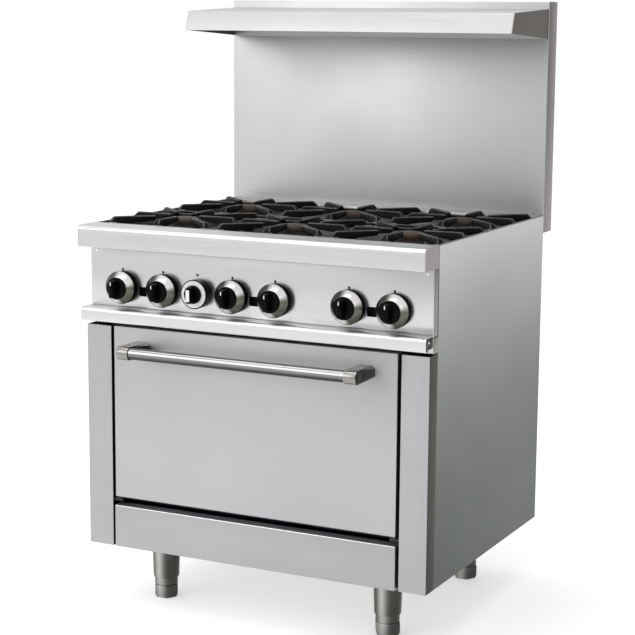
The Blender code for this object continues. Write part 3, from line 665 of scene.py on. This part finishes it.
def stiles():
    for label, side in SIDES:
        node = f"stile_{label}"
        x, y, z = limits(node)
        inner, edge = sorted((abs(x[0]), abs(x[1])))
        path = mirrored([(inner, y[1]), (inner, y[0]), (edge, y[0]), (edge, y[1])], side)
        piece(f"corner_post_{label}", bent(path, "Z", z, 0.0024), "post_steel", node=node)


def front_rail():
    x, y, z = limits("front_rail")
    path = [(y[1], z[0]), (y[0], z[0]), (y[0], z[1]), (y[1], z[1])]
    shell = bent(path[::-1], "X", (x[0] + SHEET, x[1] - SHEET), [0.010, 0.0022], SHEET, 6)
    caps = end_caps(filleted(path, [0.0022, 0.010], 6), x, 0.0004)
    piece("rail_bullnose", join(shell, *caps), "rail_steel", node="front_rail")


def control_panel():
    x, y, z = limits("control_panel")
    panel = open_pan(x, y, z, "back", 0.0020)
    face, stems = y[0], KNOB_XS + [THERMOSTAT_X]
    cutters = [block((cx - 0.0135, cx + 0.0135), (face - 0.01, face + 0.01), (0.785, 0.808), 0.0015)
               for cx in COLUMNS]
    stem_hole = [(0, 0.01), (0.0068, 0.01), (0.0068, -0.01), (0, -0.01)]
    cutters += [turned(stem_hole, "-Y", (kx, face, KNOB_Z), 24) for kx in stems]
    piece("knob_panel", boolean(panel, cutters), "panel_steel", node="control_panel")
    for i, kx in enumerate(stems):
        dot = turned([(0, 0.0001), (0.0032, 0.0001), (0.0032, -0.0002), (0, -0.0002)], "-Y",
                     (kx - 0.002, face, KNOB_Z + 0.0435), 16)
        piece(f"panel_dot_{i}", dot, "black_print", body="body")
    for label, side in SIDES:
        screw_head(f"panel_screw_{label}", (side * 0.4385, face, 0.8925), "body", radius=0.0042)
    for i, cx in enumerate(COLUMNS):
        behind = face + 0.0125
        # painted shade: the plate behind each slot is near-black, for the shade inside the slot
        bracket = block((cx - 0.022, cx + 0.022), (behind, face + 0.0140), (0.781, 0.812), 0.0003)
        piece(f"pilot_bracket_{i}", bracket, "black_print", body="body")
        screw_head(f"pilot_screw_{i}", (cx + 0.005, behind, 0.8005), "body", "-Y", 0.0036, "brass")


def kick_plate():
    x, y, z = limits("kick_plate")
    plate = open_pan(x, (y[0], at(0.015)), z, "back", 0.0020)
    flange = block((x[0] + 2 * GAP, x[1] - 2 * GAP), (at(0.010), y[1]), (z[1] - SHEET, z[1] - GAP / 2))
    piece("kick_panel", join(plate, flange), "kick_steel", node="kick_plate")


def crumb_tray():
    x, y, z = limits("crumb_tray")
    back, low, top, foot = -0.336, 0.722, 0.755, 0.7135
    path = [(y[0] + 0.020, low), (y[0], low), (y[0], top), (back, top), (back, foot)]
    lip = bent(path[::-1], "X", x, [0.0022, 0.009, 0.0022], SHEET, 5)
    pan = open_pan((-0.425, 0.425), (back - 0.001, y[1]), (z[0], 0.742), "top", 0.0035, 0.0012)
    piece("crumb_drawer", join(lip, pan), "ledge_steel", node="crumb_tray")
    for label, side in SIDES:
        outside = side * 0.4515
        # painted shade: a near-black plug fills each open end of the lip, whose hollow lies in shade
        shade_plug = block(sorted((side * 0.4490, outside)), (at(-0.0243), at(0.0168)), (0.7237, 0.7532),
                     0.0008)
        piece(f"tray_end_shade_{label}", shade_plug, "shaded_dark_steel", body="crumb_tray")
        screw_head(f"tray_screw_{label}", (outside, at(0.004), 0.7405), "crumb_tray",
                   "X" if side > 0 else "-X", 0.0038)


def backguard():
    x, y, z = limits("backguard")
    guard = open_pan(x, y, z, "bottom", 0.0020)
    slot = block((-0.40, 0.40), (y[0] + 0.017, y[0] + 0.044), (z[1] - 0.01, z[1] + 0.01), 0.003)
    piece("backguard_shell", boolean(guard, [slot]), "guard_steel", node="backguard")


def shelf():
    x, y, z = limits("shelf")
    lip_bottom, front_top, lean = 1.420, 1.4695, 1 / 3
    lip = (y[0], lip_bottom), (y[0] + (front_top - lip_bottom) * lean, front_top)
    path = [lip[0], lip[1], (y[1], z[1]), (y[1], z[0])]
    shell = bent(path[::-1], "X", (x[0] + SHEET, x[1] - SHEET), 0.0022)
    piece("high_shelf", join(shell, *end_caps(path, x, 0.0003)), "shelf_steel", node="shelf")


# ---------------------------------------------------------------- door

def door():
    x, y, z = limits("door_skin")
    piece("door_front", open_pan(x, y, z, "back", 0.0022), "door_steel", node="door_skin")
    door_liner()
    handle()
    for label, _ in SIDES:
        softened(f"door_hinge_{label}", "shaded_dark_steel", angle=32)


def door_liner():
    """Inner pan of the door: open to the front, with a field pressed in on its back."""
    x, y, z = limits("door_liner")
    bm = block(x, y, z, 0)
    bmesh.ops.delete(bm, geom=faces_at(bm, 1, y[0]), context="FACES_ONLY")
    back = faces_at(bm, 1, y[1])
    for width, depth in ((0.040, 0.0), (0.005, 0.004)):
        bmesh.ops.inset_region(bm, faces=back, thickness=width, depth=0.0)
        bmesh.ops.translate(bm, vec=(0, -depth, 0), verts=list({v for f in back for v in f.verts}))
    piece("door_inner", solidified(rounded(bm, 0.0015, 2, 17), SHEET), "coated_steel", node="door_liner")


def handle():
    x, y, z = limits("door_handle_bar")
    radius = (z[1] - z[0]) / 2
    middle, height, end = (y[0] + y[1]) / 2, (z[0] + z[1]) / 2, x[1]
    bore, ease, between = radius - SHEET, 0.0004, -0.6 * end
    profile = [(bore, -end), (bore, end), (radius - ease, end), (radius, end - ease),
               (radius, between), (radius, ease - end), (radius - ease, -end)]
    tube = ring(profile, "X", (0, middle, height), 72)
    piece("handle_tube", tube, "handle_steel", node="door_handle_bar")
    for label, _ in SIDES:
        softened(f"handle_bracket_{label}", "bracket_steel", 0.0012, 3, 24)


# ---------------------------------------------------------------- knobs

def knob(place, kx):
    """Burner knob: black skirt, chrome bezel, black grip with a white mark."""
    node, spot = "knob_" + place, (kx, at(0.020), KNOB_Z)
    # The skirt's foot on the panel is as wide as the bezel: partly the black skirt, partly painted shade
    # for the knob's shadow.
    skirt = [(0.0, 0.0200), (0.0045, 0.0200), (0.0045, 0.0008), (0.0392, 0.0008), (0.0400, 0.0016),
             (0.0400, 0.0044), (0.0390, 0.0060), (0.0388, 0.0182), (0.0380, 0.0188), (0.0, 0.0192)]
    bezel = [(0.0266, 0.0184), (0.0400, 0.0184), (0.0405, 0.0188), (0.0405, 0.0191), (0.0402, 0.0195),
             (0.0280, 0.0319), (0.0275, 0.0322), (0.0266, 0.0322)]
    disc = [(0.0, 0.0368), (0.0250, 0.0370), (0.0264, 0.0365), (0.0270, 0.0352), (0.0270, 0.0300),
            (0.0, 0.0300)]
    body = join(turned(skirt, "-Y", spot, 72), turned(disc, "-Y", spot, 64),
                moved(grip((0.0070, 0.0222), (0.0056, 0.0200), 0.0340, 0.0608), spot))
    piece(f"knob_grip_{place}", body, "black_plastic", node=node)
    piece(f"knob_bezel_{place}", ring(bezel, "-Y", spot, 96), "bezel_chrome", body=NODE_BODY[node])
    mark = block((-0.0013, 0.0013), (-0.0610, -0.0595), (0.0105, 0.0184), 0.0004)
    piece(f"knob_mark_{place}", moved(mark, spot), "white_print", body=NODE_BODY[node])


def grip(foot, front, low, high):
    """A finger grip with rounded edges; its half sizes (x, z) go from foot at low to front at high."""
    bm = bmesh.new()
    bmesh.ops.create_cube(bm, size=2.0)
    for vert in bm.verts:
        (half_x, half_z), height = (front, high) if vert.co.y < 0 else (foot, low)
        vert.co = (vert.co.x * half_x, -height, vert.co.z * half_z)
    return rounded(bm, 0.0030, 3)


def oven_knob():
    """Oven knob: a white dial ring with ticks, and a black grip with a white bar."""
    node, spot = "thermostat_knob", (THERMOSTAT_X, at(0.020), KNOB_Z)
    skirt = [(0.0, 0.018), (0.0045, 0.018), (0.0045, 0.0008), (0.0340, 0.0008), (0.0352, 0.0020),
             (0.0352, 0.0228), (0.0345, 0.0236), (0.0330, 0.0236), (0.0326, 0.0226), (0.0, 0.0226)]
    disc = [(0.0, 0.0316), (0.0205, 0.0320), (0.0216, 0.0313), (0.0220, 0.0300), (0.0220, 0.0210),
            (0.0, 0.0210)]
    body = join(turned(skirt, "-Y", spot, 80), turned(disc, "-Y", spot, 64),
                moved(grip((0.0068, 0.0195), (0.0060, 0.0190), 0.0280, 0.0514), spot))
    piece("oven_knob_grip", body, "black_plastic", node=node)
    dial = [(0.0216, 0.0220), (0.0326, 0.0220), (0.0326, 0.0232), (0.0322, 0.0235), (0.0216, 0.0235)]
    piece("oven_knob_dial", ring(dial, "-Y", spot, 80), "white_print", body=NODE_BODY[node])
    ticks = bmesh.new()
    half_range, tick_count = 150, 21
    for i in range(tick_count):
        angle = math.radians(-half_range + 2 * half_range / (tick_count - 1) * i)
        inner = 0.0292 if i % 2 else 0.0262
        tick = block((-0.00035, 0.00035), (-0.02385, -0.0232), (inner, 0.0312), 0.0001, 1)
        join(ticks, placed(tick, Matrix.Translation(spot) @ Matrix.Rotation(angle, 4, "Y")))
    piece("oven_knob_ticks", ticks, "grey_print", body=NODE_BODY[node])
    bar = block((-0.0047, 0.0047), (-0.0520, -0.0500), (-0.0140, 0.0140), 0.0010)
    piece("oven_knob_bar", moved(bar, spot), "white_print", body=NODE_BODY[node])


# ---------------------------------------------------------------- pipes

def pipe(route, radius, sides=20, ease=0.0005):
    """A round bar along a route, with eased ends."""
    route = [Vector(p) for p in route]
    start, end = (route[1] - route[0]).normalized(), (route[-1] - route[-2]).normalized()
    stations = [(route[0], start, radius - ease), (route[0] + start * ease, start, radius)]
    for before, here, after in zip(route, route[1:], route[2:]):
        ahead = ((here - before).normalized() + (after - here).normalized()).normalized()
        stations.append((here, ahead, radius))
    stations += [(route[-1] - end * ease, end, radius), (route[-1], end, radius - ease)]
    bm = bmesh.new()
    up = start.orthogonal().normalized()
    rings, last = [], start
    for centre, ahead, r in stations:
        up = last.rotation_difference(ahead) @ up
        across = ahead.cross(up).normalized()
        last = ahead
        angles = [2 * math.pi * i / sides for i in range(sides)]
        spokes = [(up * math.cos(a) + across * math.sin(a)) * r for a in angles]
        rings.append([bm.verts.new(centre + spoke) for spoke in spokes])
    for one, two in zip(rings, rings[1:]):
        for i in range(sides):
            j = (i + 1) % sides
            bm.faces.new((one[i], one[j], two[j], two[i]))
    bm.faces.new(rings[0][::-1])
    bm.faces.new(rings[-1])
    bmesh.ops.recalc_face_normals(bm, faces=bm.faces)
    return bm


def shifted(corners):
    """Corners given behind the face of the posts, as world places."""
    return [(x, at(y), z) for x, y, z in corners]


# ---------------------------------------------------------------- burners and grates

def grate(place, centre):
    """Cast grate: a rim with eased edges, four long fingers and four corner fingers."""
    half_x, half_y, bar, seat, crown = 0.149, 0.142, 0.014, 0.9433, 0.0227
    bm = bmesh.new()
    for side in (-1, 1):
        x, y = (sorted((side * half, side * (half - bar))) for half in (half_x, half_y))
        join(bm, block(x, (-half_y, half_y), (0, 0.0080), 0.0016))
        join(bm, block((0.004 - half_x, half_x - 0.004), y, (0.0001, 0.0079), 0.0016))
    for turn in range(4):
        reach = half_y if turn % 2 else half_x
        join(bm, finger(math.pi / 2 * turn, reach - 0.0008, 0.0405, crown))
    for dx, dy in CORNERS:
        angle = math.atan2(dy * half_y, dx * half_x)
        join(bm, finger(angle, math.hypot(half_x, half_y) - 0.014, 0.074, crown))
    piece(f"cast_grate_{place}", moved(bm, (*centre, seat)), "grate_iron", node="grate_" + place)


def finger(angle, outer, inner, top):
    """A finger of the grate: wide foot, narrow top, sloping outer end and hooked tip."""
    middle = (outer + inner) / 2
    outline = [(outer, 0.0006, 0.0110), (outer - 0.0010, 0.0120, 0.0085), (outer - 0.0115, top, 0.0045),
               (middle, top, 0.0050), (inner + 0.004, top, 0.0052), (inner, top - 0.003, 0.0054),
               (inner + 0.0055, 0.0105, 0.0080), (middle, 0.0060, 0.0100)]
    bm = bmesh.new()
    left = [bm.verts.new((u, half, h)) for u, h, half in outline]
    right = [bm.verts.new((u, -half, h)) for u, h, half in outline]
    bm.faces.new(left)
    bm.faces.new(right[::-1])
    for i in range(len(outline)):
        j = (i + 1) % len(outline)
        bm.faces.new((left[j], left[i], right[i], right[j]))
    bmesh.ops.recalc_face_normals(bm, faces=bm.faces)
    return placed(rounded(bm, 0.0012, 2, 28), Matrix.Rotation(angle, 4, "Z"))


def port_cutters(count, radius, z, size, reach):
    """Small upright slots in a ring, as one bmesh."""
    bm = bmesh.new()
    for i in range(count):
        cutter = block((radius, radius + reach), (-size / 2, size / 2), (z - size, z + size), 0)
        join(bm, placed(cutter, Matrix.Rotation(2 * math.pi * i / count, 4, "Z")))
    return bm


def burner_head():
    """Burner head about its own axis: cap over a ring of ports, on a flanged bowl."""
    profile = [(0, 0.9600), (0.006, 0.9603), (0.0195, 0.9605), (0.0215, 0.9600), (0.0325, 0.9585),
               (0.0348, 0.9574), (0.0368, 0.9548), (0.0375, 0.9530), (0.0375, 0.9480), (0.0360, 0.9466),
               (0.0360, 0.9400), (0.0375, 0.9388), (0.0375, 0.9345), (0.0432, 0.9296), (0.0440, 0.9280),
               (0.0440, 0.9155), (0.0428, 0.9132), (0.0300, 0.9040), (0.0180, 0.8960), (0, 0.8960)]
    return boolean(turned(profile, steps=72), [port_cutters(28, 0.0325, 0.9430, 0.0022, 0.006)])


def burners():
    head = bpy.data.meshes.new("burner_head")
    bm = burner_head()
    bm.to_mesh(head)
    bm.free()
    for i, kx in enumerate(KNOB_XS):
        column, row = divmod(i, 2)
        x, y = COLUMNS[column], ROWS[row]
        place = PLACES[3 * row + column]
        grate(place, (x, at(y)))
        bm = bmesh.new()
        bm.from_mesh(head)
        moved(bm, (x, at(y), 0))
        corners = [(kx, 0.083, KNOB_Z), (kx, y - 0.115, KNOB_Z + 0.004), (x, y, 0.866), (x, y, 0.900)]
        join(bm, pipe(filleted(shifted(corners), 0.022, 6), 0.0125, 24, 0.001))
        piece(f"burner_casting_{place}", bm, "burner_iron", node="burner_" + place)
        gas_valve(place, kx)
        knob(place, kx)
    bpy.data.meshes.remove(head)


def gas_valve(place, kx):
    """Brass valve: turned body with its stem and jet, a saddle, and a boss on the manifold."""
    spot = (kx, at(0), KNOB_Z)
    profile = [(0, 0.080), (0.0038, 0.080), (0.0045, 0.079), (0.0060, 0.0665), (0.0100, 0.0640),
               (0.0120, 0.0580), (0.0120, 0.0315), (0.0112, 0.0302), (0.0085, 0.0300), (0.0080, 0.0262),
               (0.0038, 0.0260), (0.0038, 0.0026), (0.0032, 0.0020), (0, 0.0020)]
    bm = turned([(r, -h) for r, h in profile], "-Y", spot, 32)
    boss = turned([(0, 0.0), (0.0064, 0.0), (0.0070, -0.0008), (0.0070, -0.0155), (0.0064, -0.0162),
                   (0, -0.0162)], "Z", (kx, at(0.060), KNOB_Z), 28)
    saddle = block((kx - 0.009, kx + 0.009), (at(0.036), at(0.056)), (KNOB_Z, KNOB_Z + 0.018), 0.0012)
    piece(f"valve_body_{place}", join(bm, boss, saddle), "brass", node="gas_valve_" + place)


# ---------------------------------------------------------------- gas line and oven

def gas_line():
    height, right = 0.775, 0.430
    corners = [(-0.425, 0.060, height), (right, 0.060, height), (right, 0.780, height)]
    pipe_run = pipe(filleted(shifted(corners), 0.030, 8), 0.013, 32, 0.0012)
    nut = turned([(0, 0.766), (0.0165, 0.766), (0.0188, 0.7645), (0.0188, 0.7455), (0.0165, 0.744),
                  (0, 0.744)], "Y", (right, at(0), height), 6)
    piece("gas_pipe", join(pipe_run, rounded(nut, 0.0005, 1)), "black_pipe", node="gas_manifold")

    outlet, shelf_height, left, low = 0.812, 0.757, -0.441, 0.215
    corners = [(THERMOSTAT_X, 0.0665, outlet), (THERMOSTAT_X, 0.094, outlet),
               (THERMOSTAT_X, 0.094, shelf_height), (left, 0.094, shelf_height), (left, 0.094, low),
               (0.0, 0.064, low), (0.0, 0.064, 0.233)]
    tube = pipe(filleted(shifted(corners), 0.009, 6), 0.0048)
    piece("oven_gas_tube", tube, "coated_steel", node="oven_gas_line")

    front = at(0.028)
    body = block((THERMOSTAT_X - 0.022, THERMOSTAT_X + 0.022), (front, at(0.0662)), (0.7883, 0.838),
                 0.0018, 3)
    stem = turned([(0, -0.006), (0.0032, -0.006), (0.0038, -0.0066), (0.0038, -0.030), (0, -0.030)], "-Y",
                  (THERMOSTAT_X, at(0), KNOB_Z), 28)
    piece("thermostat_body", join(body, stem), "coated_steel", node="thermostat")
    for i, (dx, sz) in enumerate(((-0.016, 0.8325), (0.016, 0.8325), (-0.016, 0.7935), (0.016, 0.7935))):
        screw_head(f"thermostat_screw_{i}", (THERMOSTAT_X + dx, front, sz), "body", "-Y", 0.0030, "brass")


def oven():
    softened("oven_liner", "enamel", 0.0007)
    softened("oven_deck", "coated_steel", 0.0005)
    profile = [(0, 0.480), (0.0160, 0.480), (0.0190, 0.4780), (0.0200, 0.4750), (0.0200, 0.0600),
               (0.0190, 0.0560), (0.0132, 0.0320), (0.0130, 0.0290), (0.0205, 0.0020), (0.0210, 0.0),
               (0.0175, 0.0), (0.0168, 0.002), (0.0100, 0.0300), (0, 0.0300)]
    tube = turned([(r, -h) for r, h in profile], "-Y", (0, at(0.090), 0.230), 40)
    holes, first_hole, pitch = bmesh.new(), 0.165, 0.0115
    for i in range(34):
        y = at(first_hole + i * pitch)
        for side in (-1, 1):
            x = sorted((side * 0.0165, side * 0.023))
            join(holes, block(x, (y - 0.0016, y + 0.0016), (0.2330, 0.2362), 0))
    piece("oven_burner_tube", boolean(tube, [holes]), "burner_iron", node="oven_burner")
    rack()


def rack():
    """Oven rack: a frame of four rods under nine thinner wires."""
    half, front, back, z = 0.322, at(0.078), at(0.655), 0.472
    frame_radius, wire_radius, wire_pitch = 0.004, 0.0025, 0.066
    bm = pipe([(-half, front, z), (half, front, z)], frame_radius)
    join(bm, pipe([(-half, back, z), (half, back, z)], frame_radius))
    for side in (-1, 1):
        x = side * (half - 0.006)
        join(bm, pipe([(x, front - 0.006, z), (x, back + 0.006, z)], frame_radius))
    for i in range(9):
        x = (i - 4) * wire_pitch
        join(bm, pipe([(x, front - 0.005, z + 0.001), (x, back + 0.005, z + 0.001)], wire_radius, 16))
    piece("wire_rack", bm, "wire", node="oven_rack")


# ---------------------------------------------------------------- body behind and below

def cooktop():
    softened("cooktop_frame", "deck_steel")


def frame_and_back():
    softened("base_frame", "coated_steel")
    softened("back_panel", "coated_steel", 0.0004)
    back = limits("back_panel")[1][1]
    spots = [(side * 0.445, height) for side in (-1, 1) for height in (0.19, 0.38, 0.57, 0.73, 0.90)]
    spots += [(across, height) for across in (-0.22, 0.0, 0.22) for height in (0.175, 0.925)]
    for i, (sx, sz) in enumerate(spots):
        screw_head(f"back_screw_{i}", (sx, back, sz), "body", "Y", 0.0042)
    lowest, pitch = 0.52, 0.034
    for i in range(7):
        louvre(f"back_louvre_{i}", back, lowest + pitch * i)


def louvre(name, back, height):
    """A pressed louvre hood on the back panel."""
    hood = [(back - 0.0008, height - 0.010), (back + 0.0060, height - 0.010),
            (back + 0.0058, height - 0.006), (back + 0.0004, height + 0.010),
            (back - 0.0008, height + 0.010)]
    piece(name, rounded(slab(hood, "X", (-0.17, 0.17), 0), 0.0008, 2), "coated_steel", body="body")


def legs():
    for row, depth in (("front", 0.122), ("rear", 0.620)):
        for label, side in SIDES:
            leg(f"{row}_{label}", side * 0.3085, at(depth))


def leg(place, x, y):
    """Leg sleeve on its plate, and the screw foot in it."""
    top = 0.1532
    sleeve = [(0, top), (0.0345, top), (0.0345, 0.1000), (0.0343, 0.0985), (0.0330, 0.0580),
              (0.0328, 0.0560), (0.0326, 0.0545), (0.0318, 0.0530), (0.0302, 0.0530), (0.0302, 0.1140),
              (0, 0.1140)]
    half, bolt_reach, plate_bottom = 0.048, 0.0385, top - 0.003
    plate = block((x - half, x + half), (y - half, y + half), (plate_bottom, top), 0.0008)
    body = join(turned(sleeve, "Z", (x, y, 0), 72), plate)
    piece(f"leg_sleeve_{place}", body, "leg_steel", node="leg_" + place)
    for i, (dx, dy) in enumerate(CORNERS):
        bolt = turned([(0, 0.0), (0.0042, 0.0), (0.0048, -0.0008), (0.0048, -0.0036), (0.0042, -0.0044),
                       (0, -0.0044)], "Z", (x + dx * bolt_reach, y + dy * bolt_reach, plate_bottom), 6)
        piece(f"leg_bolt_{place}_{i}", bolt, "polished_steel", body=NODE_BODY["leg_" + place], angle=25)
    neck = [(0, 0.1040), (0.0260, 0.1040), (0.0288, 0.1020), (0.0294, 0.1000), (0.0294, 0.0352),
            (0, 0.0352)]
    base = turned([(0, 0.0360), (0.0300, 0.0360), (0.0324, 0.0335), (0.0328, 0.0325), (0.0328, 0.0088),
                   (0.0325, 0.0078), (0.0284, 0.0008), (0.0278, 0.0), (0, 0.0)], "Z", (x, y, 0), 6)
    foot = join(turned(neck, "Z", (x, y, 0), 64), base)
    piece(f"foot_screw_{place}", foot, "foot_steel", node="foot_" + place, angle=20)


# ---------------------------------------------------------------- scene

def build_stage():
    """A pale floor that gives off a little light, so that it comes out nearly white."""
    floor = bpy.data.meshes.new("floor")
    size = 30
    corners = [(-size, -size, 0), (size, -size, 0), (size, size, 0), (-size, size, 0)]
    floor.from_pydata(corners, [], [(0, 1, 2, 3)])
    item = bpy.data.objects.new("floor", floor)
    bpy.context.scene.collection.objects.link(item)
    m = Nodes(bpy.data.materials.new("floor_paint"))
    m.link(m.blend(m.span(m.noise(3.0), 0, 1), (0.76, 0.76, 0.755), (0.78, 0.78, 0.775)), "Base Color")
    m.set(roughness=0.9, emission_color=(1.0, 1.0, 1.0, 1.0), emission_strength=0.45)
    floor.materials.append(m.owner)


def area_light(name, place, target, size, power):
    data = bpy.data.lights.new(name, "AREA")
    data.shape = "RECTANGLE"
    data.size, data.size_y = size
    data.energy = power
    item = bpy.data.objects.new(name, data)
    item.location = place
    item.rotation_euler = (Vector(target) - Vector(place)).to_track_quat("-Z", "Y").to_euler()
    bpy.context.scene.collection.objects.link(item)


def build_lights():
    """A bright world from the left and behind the object, and three soft area lights."""
    world = bpy.data.worlds.new("studio")
    bpy.context.scene.world = world
    m = Nodes(world, "Background")
    room = (-0.95, -0.20, 0.25), -0.5, 1.0, 0.45, 1.05
    backdrop = (-0.438, 0.884, -0.10), 0.60, 0.74, 0.0, 1.02
    ramps = []
    for toward, start, end, low, high in (room, backdrop):
        ahead = m.node("TexCoord").outputs["Generated"]
        facing = m.vector("DOT_PRODUCT", ahead, Vector(toward).normalized())
        ramps.append(m.span(facing, low, high, start, end))
    m.link(m.math("MAXIMUM", *ramps), "Strength")
    m.set(color=(1.0, 1.0, 1.0, 1.0))
    area_light("key", (-2.4, -4.0, 3.0), (0, 0, 0.7), (3.0, 3.0), 56)
    area_light("top", (-0.4, -0.4, 4.2), (0, 0, 0.8), (4.0, 3.5), 70)
    area_light("fill", (3.4, -3.6, 2.2), (0, 0, 0.7), (2.0, 2.0), 8)


def build_camera():
    place = (1.96175, -3.94865, 1.45843)
    yaw, pitch, roll = math.radians(26.427), math.radians(9.649), math.radians(0.4495)
    data = bpy.data.cameras.new("camera")
    data.lens, data.sensor_width = 100.49, 36.0
    camera = bpy.data.objects.new("camera", data)
    ahead = Vector((-math.sin(yaw) * math.cos(pitch), math.cos(yaw) * math.cos(pitch), -math.sin(pitch)))
    across = Vector((math.cos(yaw), math.sin(yaw), 0))
    above = across.cross(ahead)
    right = across * math.cos(roll) + above * math.sin(roll)
    up = above * math.cos(roll) - across * math.sin(roll)
    turn = Matrix([tuple(row) for row in zip(right, up, -ahead)])
    camera.matrix_world = Matrix.Translation(place) @ turn.to_4x4()
    bpy.context.scene.collection.objects.link(camera)
    bpy.context.scene.camera = camera


bpy.context.scene.view_settings.view_transform = "Standard"
build_camera()
build_stage()
build_lights()
side_panels()
stiles()
front_rail()
control_panel()
kick_plate()
crumb_tray()
backguard()
shelf()
door()
cooktop()
frame_and_back()
burners()
oven_knob()
gas_line()
oven()
legs()
